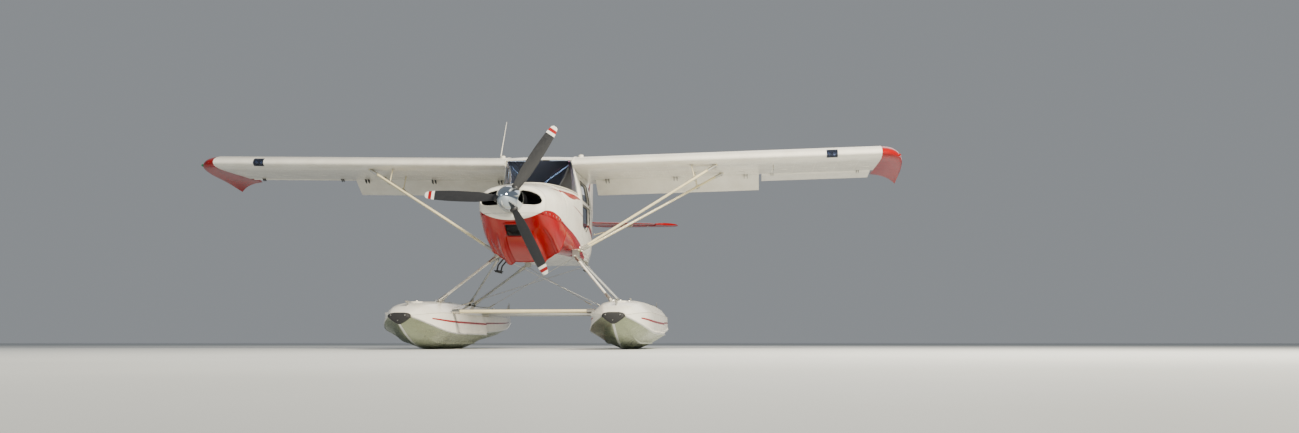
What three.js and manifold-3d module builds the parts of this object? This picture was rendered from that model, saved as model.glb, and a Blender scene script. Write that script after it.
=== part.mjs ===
// High-wing, strut-braced light aircraft on twin floats, in millimetres.
// +X is towards the left wing tip, +Y is aft, +Z is up, and the keels rest on z = 0.
// While it is drawn, y = 0 is the wing's leading edge; the last lines move the origin to mid length.
import * as THREE from "three";
import { mergeVertices } from "three/addons/utils/BufferGeometryUtils.js";
import Module from "manifold-3d";

const wasm = await Module();
wasm.setup();

// Driving dimensions
const GAP = 0.4;                       // between pieces that are bolted together
const RUNNING_GAP = 6;                 // round anything that moves
const WING_ROOT_X = 468;
const WING_END_X = 4640;
const WING_TIP_X = 5012;
const CHORD = 1600;
const WING_THICKNESS = 0.13;           // of the chord
const WING_CAMBER = 0.035;
const CAMBER_AT = 0.4;
const WING_Z = 2520;                   // leading edge at the root
const INCIDENCE = 2;                   // degrees
const DIHEDRAL = 1.24;                 // degrees
const HINGE_Y = 1252;                  // flap and aileron hinge line
const HINGE_DROP = 28;                 // hinge line below the leading edge's level
const NOSE_RADIUS = 42;                // rounded front of flap and aileron
const FLAP_SPAN = [620, 3010];
const AILERON_SPAN = [3050, 4600];
const FLAP_REST = 35;                  // degrees down
const AILERON_REST = 8;                // left down, right up, degrees
const PROP_Y = -1835;
const PROP_Z = 1800;
const PROP_RADIUS = 1025;
const SPINNER_RADIUS = 160;
const SPINNER_TIP_Y = -2112;
const SPINNER_BASE_Y = -1735;
const BLADE_ANGLES = [57, 177, 297];   // from +X towards +Z
const FIREWALL_Y = -745;
const FRONT_END_Y = 250;               // where the front fuselage meets the cabin sides
const CABIN_END_Y = 2150;
const WALL = 30;
const SKIN = 14;
const BELLY_Z = 1265;
const FLOOR_TOP_Z = 1300;
const WALL_TOP_Z = 2440;
const FLOAT_X = 1277;
const STEP_Y = 900;
const STERN_Y = 3700;
const BOW_Y = -1900;
const TAIL_HINGE_Y = 4905;
const TAIL_Z = 2180;
const TAIL_END_Y = 5250;
const MID_Y = (SPINNER_TIP_Y + TAIL_END_Y) / 2;

const sin = (degrees) => Math.sin(THREE.MathUtils.degToRad(degrees));
const cos = (degrees) => Math.cos(THREE.MathUtils.degToRad(degrees));
const lerp = THREE.MathUtils.lerp;

// Finishes
const finish = (color, roughness, metalness) =>
  new THREE.MeshStandardMaterial({ color, roughness, metalness });
const WHITE = finish(0xf4f1e6, 0.25, 0);
const CREAM = finish(0xeee6c4, 0.3, 0);
const RED = finish(0xc2121a, 0.22, 0);
const BARE_METAL = finish(0xa9ada6, 0.3, 0.9);
const POLISHED = finish(0xd5d9dc, 0.08, 1);
const DARK_METAL = finish(0x3b3c3e, 0.5, 0.7);
const BLACK = finish(0x16171a, 0.55, 0);
const RUBBER = finish(0x121212, 0.85, 0);
const TINTED = finish(0x2a3c66, 0.06, 0);
const LEATHER = finish(0x4a2f28, 0.6, 0);
const GREY = finish(0x8f9498, 0.45, 0.2);

// Closed mesh from rings of [x, y, z] points, each ring with the same number of points
function loft(rings) {
  const count = rings[0].length;
  const positions = rings.flat(2);
  const index = [];
  for (let r = 0; r + 1 < rings.length; r++) {
    for (let i = 0; i < count; i++) {
      const a = r * count + i;
      const b = r * count + (i + 1) % count;
      index.push(a, b, b + count, a, b + count, a + count);
    }
  }
  const cap = (ring, base, flip) => {
    const normal = new THREE.Vector3();
    ring.forEach((p, i) => {
      const q = ring[(i + 1) % count];
      normal.x += (p[1] - q[1]) * (p[2] + q[2]);
      normal.y += (p[2] - q[2]) * (p[0] + q[0]);
      normal.z += (p[0] - q[0]) * (p[1] + q[1]);
    });
    const size = [Math.abs(normal.x), Math.abs(normal.y), Math.abs(normal.z)];
    const drop = size.indexOf(Math.max(...size));
    const [u, w] = [[1, 2], [2, 0], [0, 1]][drop];
    const facing = [normal.x, normal.y, normal.z][drop] > 0;
    const flat = ring.map((p) => new THREE.Vector2(p[u], p[w]));
    for (const [a, b, c] of THREE.ShapeUtils.triangulateShape(flat, [])) {
      const forward = (THREE.ShapeUtils.area([flat[a], flat[b], flat[c]]) > 0) === facing;
      if (forward !== flip) index.push(base + a, base + b, base + c);
      else index.push(base + a, base + c, base + b);
    }
  };
  cap(rings[0], 0, true);
  cap(rings.at(-1), (rings.length - 1) * count, false);
  const geometry = new THREE.BufferGeometry();
  geometry.setAttribute("position", new THREE.Float32BufferAttribute(positions, 3));
  geometry.setIndex(index);
  return facedOut(geometry);
}

// The geometry with its faces pointing out
function facedOut(geometry) {
  const p = geometry.attributes.position;
  const index = geometry.index.array;
  const [a, b, c] = [new THREE.Vector3(), new THREE.Vector3(), new THREE.Vector3()];
  let volume = 0;
  for (let i = 0; i < index.length; i += 3) {
    a.fromBufferAttribute(p, index[i]);
    b.fromBufferAttribute(p, index[i + 1]);
    c.fromBufferAttribute(p, index[i + 2]);
    volume += a.dot(b.cross(c));
  }
  if (volume < 0) {
    for (let i = 0; i < index.length; i += 3) {
      [index[i], index[i + 1]] = [index[i + 1], index[i]];
    }
  }
  return geometry;
}

// Joining and cutting
function toSolid(geometry) {
  const bare = new THREE.BufferGeometry();
  bare.setAttribute("position", geometry.attributes.position.clone());
  if (geometry.index) bare.setIndex(geometry.index.clone());
  const merged = mergeVertices(bare, 1e-3);
  const mesh = new wasm.Mesh({
    numProp: 3,
    vertProperties: new Float32Array(merged.attributes.position.array),
    triVerts: new Uint32Array(merged.index.array),
  });
  return new wasm.Manifold(mesh);
}

function toGeometry(solid) {
  const mesh = solid.getMesh();
  const geometry = new THREE.BufferGeometry();
  geometry.setAttribute("position", new THREE.BufferAttribute(mesh.vertProperties, 3));
  geometry.setIndex(new THREE.BufferAttribute(mesh.triVerts, 1));
  return geometry;
}

const join = (first, ...rest) =>
  toGeometry(rest.reduce((solid, g) => solid.add(toSolid(g)), toSolid(first)));
const cut = (first, ...rest) =>
  toGeometry(rest.reduce((solid, g) => solid.subtract(toSolid(g)), toSolid(first)));
const common = (first, second) => toGeometry(toSolid(first).intersect(toSolid(second)));

// A piece cut back from its neighbour, with a gap left along each offset
function trim(piece, neighbour, offsets) {
  const body = toSolid(neighbour);
  let solid = toSolid(piece).subtract(body);
  for (const offset of offsets) solid = solid.subtract(body.translate(offset));
  return toGeometry(solid);
}

function mirrored(geometry) {
  const copy = geometry.clone();
  copy.scale(-1, 1, 1);
  if (!copy.index) return copy;
  return facedOut(copy);
}

function block(low, high) {
  const size = high.map((value, i) => value - low[i]);
  const geometry = new THREE.BoxGeometry(...size);
  geometry.translate(...low.map((value, i) => value + size[i] / 2));
  return geometry;
}

// Prism along X of an outline of [y, z] points
function sidePrism(outline, x0, x1) {
  return loft([x0, x1].map((x) => outline.map(([y, z]) => [x, y, z])));
}

// Prism along Z of an outline of [x, y] points
function planPrism(outline, z0, z1) {
  return loft([z0, z1].map((z) => outline.map(([x, y]) => [x, y, z])));
}

// Bar from one point to another, with a six-sided streamlined section whose length lies near +Y
function strut(from, to, length, thickness) {
  const start = new THREE.Vector3(...from);
  const end = new THREE.Vector3(...to);
  const along = end.clone().sub(start).normalize();
  const aft = new THREE.Vector3(0, 1, 0);
  aft.addScaledVector(along, -aft.dot(along)).normalize();
  const across = along.clone().cross(aft);
  const section = [[-0.5, 0], [-0.2, 0.5], [0.15, 0.5], [0.5, 0.08], [0.5, -0.08], [0.15, -0.5], [-0.2, -0.5]];
  const ring = (centre) => section.map(([a, b]) =>
    centre.clone().addScaledVector(aft, a * length).addScaledVector(across, b * thickness).toArray());
  return loft([ring(start), ring(end)]);
}

function rod(from, to, r0, r1, sides = 12) {
  const start = new THREE.Vector3(...from);
  const end = new THREE.Vector3(...to);
  const geometry = new THREE.CylinderGeometry(r1, r0, start.distanceTo(end), sides);
  const turn = new THREE.Quaternion().setFromUnitVectors(
    new THREE.Vector3(0, 1, 0), end.clone().sub(start).normalize());
  geometry.applyQuaternion(turn);
  geometry.translate(...start.add(end).multiplyScalar(0.5).toArray());
  return geometry;
}

// Superellipse ring at station y: half width, centre height, top, bottom and squareness
function oval(y, half, centre, top, bottom, power, sides = 24) {
  return Array.from({ length: sides }, (_, i) => {
    const angle = (i + 0.5) * 360 / sides;
    const x = Math.sign(cos(angle)) * half * Math.abs(cos(angle)) ** (2 / power);
    const rise = Math.abs(sin(angle)) ** (2 / power);
    return [x, y, centre + (sin(angle) > 0 ? (top - centre) : (bottom - centre)) * rise];
  });
}

// Assembly
const aircraft = new THREE.Group();

function add(name, geometry, material) {
  const mesh = new THREE.Mesh(geometry, material);
  mesh.name = name;
  aircraft.add(mesh);
  return geometry;
}

function addPair(name, geometry, material) {
  add(`${name}_left`, geometry, material);
  add(`${name}_right`, mirrored(geometry), material);
}

// Wing section
const SKIN_STATIONS = [0, 0.012, 0.045, 0.11, 0.22, 0.38, 0.56, 0.748];
const TAIL_STATIONS = [0.87, 1];

function sectionPoint(fraction, side) {
  const f = fraction;
  const half = 5 * WING_THICKNESS
    * (0.2969 * Math.sqrt(f) - 0.126 * f - 0.3516 * f ** 2 + 0.2843 * f ** 3 - 0.1015 * f ** 4);
  const ahead = f < CAMBER_AT;
  const camber = ahead
    ? WING_CAMBER / CAMBER_AT ** 2 * (2 * CAMBER_AT * f - f * f)
    : WING_CAMBER / (1 - CAMBER_AT) ** 2 * (1 - 2 * CAMBER_AT + 2 * CAMBER_AT * f - f * f);
  return camber + side * (half + 0.0015 * f);
}

const wingRise = (x) => (Math.abs(x) - WING_ROOT_X) * sin(DIHEDRAL);

// Ring of the wing section at x, from its trailing edge over the top and back underneath
function wingRing(x, stations, front = 0, chord = CHORD, drop = 0, thickness = 1) {
  const place = (f, side) => {
    const height = sectionPoint(f, side) * CHORD * thickness;
    const back = f * chord;
    const droop = drop * (0.35 + 0.65 * f);
    return [x, front + back * cos(INCIDENCE) + height * sin(INCIDENCE),
      WING_Z + wingRise(x) - (front + back) * sin(INCIDENCE) + height * cos(INCIDENCE) - droop];
  };
  const over = stations.slice().reverse().map((f) => place(f, 1));
  const under = stations.slice(1).map((f) => place(f, -1));
  return [...over, ...under];
}

function wing() {
  const panel = loft([WING_ROOT_X, WING_END_X].map((x) => wingRing(x, SKIN_STATIONS)));
  const rootEnd = FLAP_SPAN[0] - RUNNING_GAP * 3;
  const full = [...SKIN_STATIONS, ...TAIL_STATIONS];
  const root = loft([WING_ROOT_X, rootEnd].map((x) => wingRing(x, full)));
  return join(panel, root);
}

// Drooped tip: x, front, chord, droop, thickness share
const TIP_TABLE = [
  [WING_END_X + GAP, 0, 1600, 0, 1],
  [4760, 45, 1582, 12, 0.97],
  [4880, 190, 1470, 48, 0.8],
  [4965, 520, 1175, 96, 0.5],
  [WING_TIP_X, 1010, 712, 135, 0.16],
];

function wingTip() {
  const full = [...SKIN_STATIONS, ...TAIL_STATIONS];
  return loft(TIP_TABLE.map(([x, front, chord, drop, thickness]) =>
    wingRing(x, full, front, chord, drop, thickness)));
}

// Flap or aileron between two span stations, turned down about its hinge by an angle
function surface([x0, x1], down) {
  const reach = CHORD - HINGE_Y - 4;
  const tailDrop = CHORD * sin(INCIDENCE) - HINGE_DROP;
  const nose = [90, 120, 150, 180, 210, 240, 270].map((angle) =>
    [NOSE_RADIUS * cos(angle), NOSE_RADIUS * sin(angle)]);
  const outline = [...nose, [reach, -tailDrop - 4], [reach, -tailDrop + 4]];
  const ring = (x) => outline.map(([y, z]) => {
    const hingeZ = WING_Z + wingRise(x) - HINGE_DROP;
    return [x, HINGE_Y + y * cos(down) + z * sin(down), hingeZ - y * sin(down) + z * cos(down)];
  });
  return loft([ring(x0), ring(x1)]);
}

const wingLeft = wing();
addPair("wing", wingLeft, WHITE);
addPair("wing_tip", wingTip(), RED);
addPair("flap", surface(FLAP_SPAN, FLAP_REST), WHITE);
add("aileron_left", surface(AILERON_SPAN, AILERON_REST), WHITE);
add("aileron_right", mirrored(surface(AILERON_SPAN, -AILERON_REST)), WHITE);

// Floats: y, keel, half beam, chine, knuckle half width, knuckle height,
// deck half width, deck edge height, crown height, strake depth
const FLOAT_TABLE = [
  [BOW_Y, 300, 140, 385, 136, 410, 118, 432, 440, 0],
  [-1750, 228, 222, 340, 214, 425, 152, 484, 497, 0],
  [-1550, 145, 300, 288, 288, 442, 188, 528, 546, 0],
  [-1250, 58, 362, 232, 346, 456, 218, 562, 584, 10],
  [-950, 14, 381, 206, 364, 460, 235, 582, 604, 14],
  [-650, 0, 385, 196, 368, 460, 240, 592, 614, 14],
  [STEP_Y, 0, 385, 192, 366, 460, 245, 596, 620, 14],
  [STEP_Y + 3, 66, 378, 222, 364, 460, 245, 596, 620, 6],
  [2300, 150, 325, 280, 315, 462, 220, 582, 602, 4],
  [STERN_Y, 318, 118, 400, 112, 470, 90, 540, 552, 0],
];
const KEEL_SHOE = 14;                  // half width of the keel strip
const STRAKE_SHARE = 0.52;             // strake's place between keel and chine
const STRAKE_HALF = 9;

function floatRing([y, keel, beam, chine, knuckle, knuckleZ, deck, deckZ, crown, strake]) {
  const bottom = (x) => keel + (chine - keel) * (x - KEEL_SHOE) / (beam - KEEL_SHOE);
  const strakeX = beam * STRAKE_SHARE;
  const half = [
    [KEEL_SHOE, keel],
    [strakeX - STRAKE_HALF, bottom(strakeX - STRAKE_HALF)],
    [strakeX, bottom(strakeX) - strake - 1],
    [strakeX + STRAKE_HALF, bottom(strakeX + STRAKE_HALF)],
    [beam, chine],
    [knuckle, knuckleZ],
    [deck, deckZ],
    [deck * 0.45, crown],
  ];
  const other = half.slice().reverse().map(([x, z]) => [-x, z]);
  return [...half, ...other].map(([x, z]) => [FLOAT_X + x, y, z]);
}

// Stern lugs that carry the water rudder's post
const POST_Y = STERN_Y + 55;
const LUG_HEIGHTS = [380, 500];

function floatHull() {
  const lugs = LUG_HEIGHTS.map((z) =>
    block([FLOAT_X - 22, STERN_Y - 20, z - 9], [FLOAT_X + 22, POST_Y - 17, z + 9]));
  return join(loft(FLOAT_TABLE.map(floatRing)), ...lugs);
}

function bowBumper() {
  const outline = floatRing(FLOAT_TABLE[0]).map(([x, , z]) => [x, z]);
  const centreZ = 375;
  const ring = (y, share) => outline.map(([x, z]) =>
    [FLOAT_X + (x - FLOAT_X) * share, y, centreZ + (z - centreZ) * share]);
  return loft([ring(BOW_Y - GAP, 0.97), ring(BOW_Y - 45, 0.93), ring(BOW_Y - 72, 0.74)]);
}

// Water rudder, drawn up behind the stern
function waterRudder() {
  const post = rod([FLOAT_X, POST_Y, 330], [FLOAT_X, POST_Y, 590], 14, 14);
  const blade = sidePrism(
    [[POST_Y, 420], [POST_Y + 60, 385], [POST_Y + 400, 640], [POST_Y + 345, 775], [POST_Y, 560]],
    FLOAT_X - 5, FLOAT_X + 5);
  const horn = block([FLOAT_X - 90, POST_Y - 12, 572], [FLOAT_X + 90, POST_Y + 12, 586]);
  return join(post, blade, horn);
}

const hull = floatHull();
addPair("float", hull, BARE_METAL);
addPair("bow_bumper", bowBumper(), RUBBER);
addPair("water_rudder", waterRudder(), BARE_METAL);

// Spreader bars between the floats
const BAR_Z = 478;
const BAR_STATIONS = { front: -863, rear: 750 };
for (const [name, y] of Object.entries(BAR_STATIONS)) {
  const bar = strut([-1000, y, BAR_Z], [1000, y, BAR_Z], 105, 48);
  const clear = trim(bar, hull, [[-GAP, 0, 0]]);
  add(`spreader_bar_${name}`, trim(clear, mirrored(hull), [[GAP, 0, 0]]), CREAM);
}

// Front fuselage: y, half width, centre, top, bottom, squareness
const FRONT_TABLE = [
  [FIREWALL_Y, 532, 1720, 2140, BELLY_Z, 2.9],
  [-400, 545, 1720, 2150, BELLY_Z, 4],
  [-100, 552, 1720, 2145, BELLY_Z, 6],
  [FRONT_END_Y, 555, 1720, 2130, BELLY_Z, 9],
];
// Windscreen's foot in plan: an ellipse about the rear edge of the front fuselage
const FOOT_HALF = 512;
const FOOT_LENGTH = 950;
const FITTING = { x: 560, y: -30, z: 1275 };

const frontRings = (table, inset) => table.map(([y, half, centre, top, bottom, power]) =>
  oval(y, half - inset, centre, top - inset, bottom + inset, power));

function footCurve(halfWidth, length, steps = 12) {
  return Array.from({ length: steps + 1 }, (_, i) => {
    const angle = i * 180 / steps;
    return [halfWidth * cos(angle), FRONT_END_Y - length * sin(angle)];
  });
}

function frontFuselage() {
  const outer = loft(frontRings(FRONT_TABLE, 0));
  const cavity = FRONT_TABLE.map((row) => row.slice());
  cavity[0][0] += 8;
  cavity.at(-1)[0] += 10;
  const inner = loft(frontRings(cavity, WALL));
  const hatch = planPrism(
    [...footCurve(FOOT_HALF - 14, FOOT_LENGTH - 14), [-FOOT_HALF + 14, FRONT_END_Y + 10],
      [FOOT_HALF - 14, FRONT_END_Y + 10]], 1950, 2300);
  const lugs = [1, -1].map((side) => {
    const x = side > 0 ? [470, 572] : [-572, -470];
    return block([x[0], -125, 1225], [x[1], 75, 1335]);
  });
  return cut(join(outer, ...lugs), inner, hatch);
}

const front = add("fuselage_front", frontFuselage(), WHITE);

// Cabin wall: half width and height of its outer face at full width
const WALL_LINE = [[505, FLOOR_TOP_Z + GAP], [545, 1450], [555, 1750], [548, 2060], [484, WALL_TOP_Z]];
// Plan of the cabin: y and how far the wall stands inside its widest line
const WALL_PLAN = [[FRONT_END_Y + GAP, 0], [1200, 0], [CABIN_END_Y, 130]];

function wallShell(outset, inset) {
  return loft(WALL_PLAN.map(([y, narrowing]) => {
    const outer = WALL_LINE.map(([x, z]) => [x - narrowing - outset, y, z]);
    const inner = WALL_LINE.map(([x, z]) => [x - narrowing - inset, y, z]).reverse();
    return [...outer, ...inner];
  }));
}

// Outlines seen from the side, as y and z; a lap makes them larger all round
const lapped = (outline, lap) => {
  const middle = outline.reduce((sum, p) => [sum[0] + p[0] / outline.length, sum[1] + p[1] / outline.length], [0, 0]);
  return outline.map(([y, z]) => [y + lap * Math.sign(y - middle[0]), z + lap * Math.sign(z - middle[1])]);
};
const DOOR = [[346, 1668], [724, 1346], [1160, 1346], [1160, 2404], [346, 2404]];
const DOOR_OPENING = lapped(DOOR, RUNNING_GAP);
const UPPER_PANE = [[410, 2062], [1095, 2062], [1095, 2345], [410, 2345]];
const LOWER_PANE = [[420, 1700], [760, 1640], [1090, 1790], [1090, 2010], [420, 2010]];
const DOOR_PANE = [[400, 1690], [760, 1610], [1110, 1780], [1110, 2360], [400, 2360]];
const REAR_PANE = [[1260, 2010], [1960, 2090], [1840, 2360], [1260, 2360]];
const THROUGH = [300, 700];

function cabinSide() {
  return cut(wallShell(0, WALL), sidePrism(DOOR_OPENING, ...THROUGH), sidePrism(REAR_PANE, ...THROUGH));
}

function door() {
  const panel = common(wallShell(0, WALL), sidePrism(DOOR, ...THROUGH));
  return cut(panel, sidePrism(UPPER_PANE, ...THROUGH), sidePrism(LOWER_PANE, ...THROUGH));
}

const pane = (outline) => common(wallShell(WALL + GAP, WALL + 6), sidePrism(outline, ...THROUGH));
const side = cabinSide();
addPair("cabin_side", side, WHITE);
addPair("door", door(), WHITE);
addPair("door_glass", pane(DOOR_PANE), TINTED);
addPair("rear_window", pane(lapped(REAR_PANE, 18)), TINTED);

// Floor, with the lugs for the rear float struts
const REAR_FITTING = { x: 452, y: 1500, z: 1250 };

function cabinFloor() {
  const right = WALL_PLAN.map(([y, narrowing]) => [WALL_LINE[0][0] - narrowing, y]);
  const left = right.slice().reverse().map(([x, y]) => [-x, y]);
  const plate = planPrism([...right, ...left], BELLY_Z, FLOOR_TOP_Z);
  const lug = block([REAR_FITTING.x - 60, REAR_FITTING.y - 65, 1205],
    [REAR_FITTING.x + 14, REAR_FITTING.y + 65, BELLY_Z + 10]);
  return join(plate, lug, mirrored(lug));
}

const floorPlate = add("cabin_floor", cabinFloor(), GREY);

// Roof between the wings, following their upper skin and then down to the tail cone
const ROOF_THICKNESS = 24;
const ROOF_START = 0.04;
const TAIL_TOP_Z = 2436;

function roofHeight(y) {
  const f = Math.min(y / CHORD, 1);
  const skin = WING_Z - y * sin(INCIDENCE) + sectionPoint(f, 1) * CHORD * cos(INCIDENCE);
  return y <= 1300 ? skin : lerp(roofHeight(1300), TAIL_TOP_Z + 30, (y - 1300) / (CABIN_END_Y - 1300));
}

function cabinRoof() {
  const stations = [ROOF_START * CHORD, 150, 300, 560, 900, 1300, 1700, CABIN_END_Y];
  const rings = stations.map((y) => {
    const half = (WING_ROOT_X - 1) * (y <= 1600 ? 1 : lerp(1, 0.8, (y - 1600) / (CABIN_END_Y - 1600)));
    const z = roofHeight(y);
    const low = z - ROOF_THICKNESS;
    return [[-half, y, low], [-half, y, z - 3], [0, y, z + 10], [half, y, z - 3], [half, y, low]];
  });
  return loft(rings);
}

add("cabin_roof", cabinRoof(), WHITE);

// Windscreen: a curved sheet from its foot on the front fuselage to the roof's front edge
const SCREEN_THICKNESS = 8;
const SCREEN_BULGE = 10;
const SCREEN_TOP = { half: 440, y: 52, z: 2574, bow: 46 };

function surfaceHeight(x, y) {
  const rows = FRONT_TABLE;
  const k = Math.max(0, rows.findIndex((row) => row[0] >= y) - 1);
  const t = (y - rows[k][0]) / (rows[k + 1][0] - rows[k][0]);
  const [half, centre, top, , power] = [1, 2, 3, 4, 5].map((c) => lerp(rows[k][c], rows[k + 1][c], t));
  return centre + (top - centre) * (1 - Math.min(1, Math.abs(x) / half) ** power) ** (1 / power);
}

function windscreen() {
  const steps = 12;
  const foot = footCurve(FOOT_HALF, FOOT_LENGTH, steps);
  const rings = foot.map(([x, y], i) => {
    const angle = i * 180 / steps;
    const footZ = surfaceHeight(x, Math.min(y, FRONT_END_Y - 1)) + 6;
    const top = [SCREEN_TOP.half * cos(angle), SCREEN_TOP.y - SCREEN_TOP.bow * sin(angle), SCREEN_TOP.z];
    const level = (share, inset) => {
      const bulge = SCREEN_BULGE * Math.sin(Math.PI * share);
      const out = [cos(angle), -sin(angle)];
      return [lerp(x, top[0], share) + out[0] * (bulge - inset),
        lerp(y, top[1], share) + out[1] * (bulge - inset), lerp(footZ, top[2], share)];
    };
    return [level(0, 0), level(0.5, 0), level(1, 0),
      level(1, SCREEN_THICKNESS), level(0.5, SCREEN_THICKNESS), level(0, SCREEN_THICKNESS)];
  });
  return loft(rings);
}

add("windscreen", windscreen(), TINTED);

// Tail cone: y, half width, centre, top, bottom, squareness
const CONE_TABLE = [
  [CABIN_END_Y + GAP, 422, 1860, TAIL_TOP_Z, BELLY_Z + 30, 5],
  [2900, 318, 1920, 2350, 1440, 4],
  [3880, 185, 2000, 2228, 1700, 3.4],
  [4300, 120, 2010, 2150, 1812, 3],
  [TAIL_HINGE_Y - 32, 52, 2060, 2148, 1975, 3],
];
const coneForm = loft(frontRings(CONE_TABLE, 0));

function tailCone() {
  const hollow = CONE_TABLE.map((row) => row.slice());
  hollow[0][0] += SKIN;
  hollow.at(-1)[0] -= SKIN;
  const inner = loft(frontRings(hollow, SKIN));
  const hatch = rod([0, CABIN_END_Y - 20, 1900], [0, CABIN_END_Y + 40, 1900], 190, 190, 20);
  const ventral = sidePrism([[4330, 1900], [4440, 1800], [4862, 1800], [4862, 2010]], -13, 13);
  return cut(join(coneForm, ventral), inner, hatch);
}

const cone = add("tail_cone", tailCone(), WHITE);

// Tail surfaces
const STAB_TIP_X = 1185;
const ELEVATOR_TIP_X = 1590;
const STAB_HALF = 24;

function stabiliser() {
  const ring = (x, frontY, half) => [
    [x, frontY, TAIL_Z], [x, frontY + 90, TAIL_Z + half], [x, TAIL_HINGE_Y - 34, TAIL_Z + half * 0.85],
    [x, TAIL_HINGE_Y - 34, TAIL_Z - half * 0.85], [x, frontY + 90, TAIL_Z - half],
  ];
  return loft([ring(-STAB_TIP_X, 4640, 16), ring(-110, 4330, STAB_HALF),
    ring(110, 4330, STAB_HALF), ring(STAB_TIP_X, 4640, 16)]);
}

// Elevator half: its blade aft of the hinge and the horn outboard of the stabiliser
function elevator() {
  const nose = 20;
  const outline = [[105, TAIL_HINGE_Y + 6], [1200, TAIL_HINGE_Y + 6], [1200, 4695], [1330, 4710],
    [ELEVATOR_TIP_X - 30, 4860], [ELEVATOR_TIP_X, 5040], [ELEVATOR_TIP_X - 60, 5160], [300, 5228], [262, 5215]];
  const blade = planPrism(outline, TAIL_Z - 9, TAIL_Z + 9);
  const roll = rod([90, TAIL_HINGE_Y, TAIL_Z], [1420, TAIL_HINGE_Y, TAIL_Z], nose, nose);
  const half = join(blade, roll);
  const tube = rod([-120, TAIL_HINGE_Y, TAIL_Z], [120, TAIL_HINGE_Y, TAIL_Z], 14, 14);
  return join(half, mirrored(half), tube);
}

// Fin and rudder: height, front, half thickness; the fin's root stands on the cone ahead of the stabiliser
const FIN_TABLE = [[2120, 3740, 36], [2246, 3855, 36], [3270, 4570, 22], [3345, 4690, 12]];
const FIN_SLOT = { y: 4322, z: 2216 };

function fin() {
  const back = TAIL_HINGE_Y - 30;
  const blade = loft(FIN_TABLE.map(([z, y, half]) => [
    [0, y, z], [half, lerp(y, back, 0.35), z], [half * 0.8, back, z],
    [-half * 0.8, back, z], [-half, lerp(y, back, 0.35), z],
  ]));
  const slot = block([-60, FIN_SLOT.y, 2000], [60, TAIL_HINGE_Y, FIN_SLOT.z]);
  return trim(cut(blade, slot), coneForm, [[0, 0, GAP]]);
}

// Rudder: height, trailing edge
const RUDDER_TABLE = [[2268, 5205], [2420, TAIL_END_Y], [3180, TAIL_END_Y], [3335, 5170]];

function rudder() {
  const roll = rod([0, TAIL_HINGE_Y, RUDDER_TABLE[0][0]], [0, TAIL_HINGE_Y, RUDDER_TABLE.at(-1)[0]], 20, 20);
  const blade = loft(RUDDER_TABLE.map(([z, y]) => [
    [18, TAIL_HINGE_Y, z], [3, y, z], [-3, y, z], [-18, TAIL_HINGE_Y, z]]));
  return join(roll, blade);
}

const stab = add("stabiliser", stabiliser(), RED);
add("elevator", elevator(), RED);
add("fin", fin(), WHITE);
add("rudder", rudder(), WHITE);

const tailStrut = strut([74, 4740, 1992], [800, 4790, 2172], 34, 16);
addPair("tail_strut", trim(trim(tailStrut, cone, [[GAP, 0, 0]]), stab, [[0, 0, -GAP]]), CREAM);

// Cowling: y, half width, centre, top, bottom, squareness
const COWL_TABLE = [
  [-1712, 325, 1790, 1925, 1590, 2.3],
  [-1690, 368, 1785, 1962, 1560, 2.35],
  [-1640, 402, 1780, 1985, 1528, 2.4],
  [-1400, 456, 1765, 2030, 1380, 2.5],
  [-1100, 502, 1745, 2082, 1225, 2.6],
  [FIREWALL_Y - GAP, 530, 1725, 2138, 1098, 2.7],
];
const COWL_WALL = 12;
const COWL_SPLIT = [[-1800, 1642], [FIREWALL_Y + 50, 1562]];

function cowlShell() {
  const outer = loft(frontRings(COWL_TABLE, 0));
  const hollow = COWL_TABLE.map((row) => row.slice());
  hollow[0][0] += COWL_WALL;
  hollow.at(-1)[0] += 30;
  const inner = loft(frontRings(hollow, COWL_WALL));
  const shaftHole = rod([0, -1760, PROP_Z], [0, -1600, PROP_Z], 75, 75, 20);
  return cut(outer, inner, shaftHole);
}

// Cooling inlets either side of the spinner, as x and z
const INLET = [[172, 1726], [300, 1712], [372, 1735], [388, 1790], [350, 1858], [250, 1908], [165, 1925], [186, 1830]];
const CHIN_INLET = { half: 108, low: 1385, high: 1520 };

function cowlHalves() {
  const shell = cowlShell();
  const [a, b] = COWL_SPLIT;
  const above = (lift) => sidePrism([[a[0], a[1] + lift], [b[0], b[1] + lift], [b[0], 2400], [a[0], 2400]], -700, 700);
  const below = sidePrism([[a[0], a[1]], [b[0], b[1]], [b[0], 900], [a[0], 900]], -700, 700);
  const inlet = loft([-1800, -1620].map((y) => INLET.map(([x, z]) => [x, y, z])));
  const chin = block([-CHIN_INLET.half, -1800, CHIN_INLET.low], [CHIN_INLET.half, -1400, CHIN_INLET.high]);
  const upper = cut(common(shell, above(GAP)), inlet, mirrored(inlet));
  const lower = cut(common(shell, below), chin);
  return [upper, lower];
}

const [cowlUpper, cowlLower] = cowlHalves();
add("cowling_upper", cowlUpper, WHITE);
add("cowling_lower", cowlLower, RED);

// Engine as a plain block, its rear case up to the firewall, and the exhaust pipe out of the cowl's exit
function engine() {
  const core = block([-350, -1500, 1600], [350, -930, 1900]);
  const sump = block([-190, -1400, 1490], [190, -940, 1610]);
  const rear = block([-170, -940, 1560], [170, FIREWALL_Y - GAP, 1860]);
  const down = rod([150, -1010, 1520], [150, -870, 1212], 26, 26);
  const out = rod([150, -880, 1216], [150, -600, 1176], 26, 26);
  return join(core, sump, rear, down, out);
}

add("engine", engine(), DARK_METAL);

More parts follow.
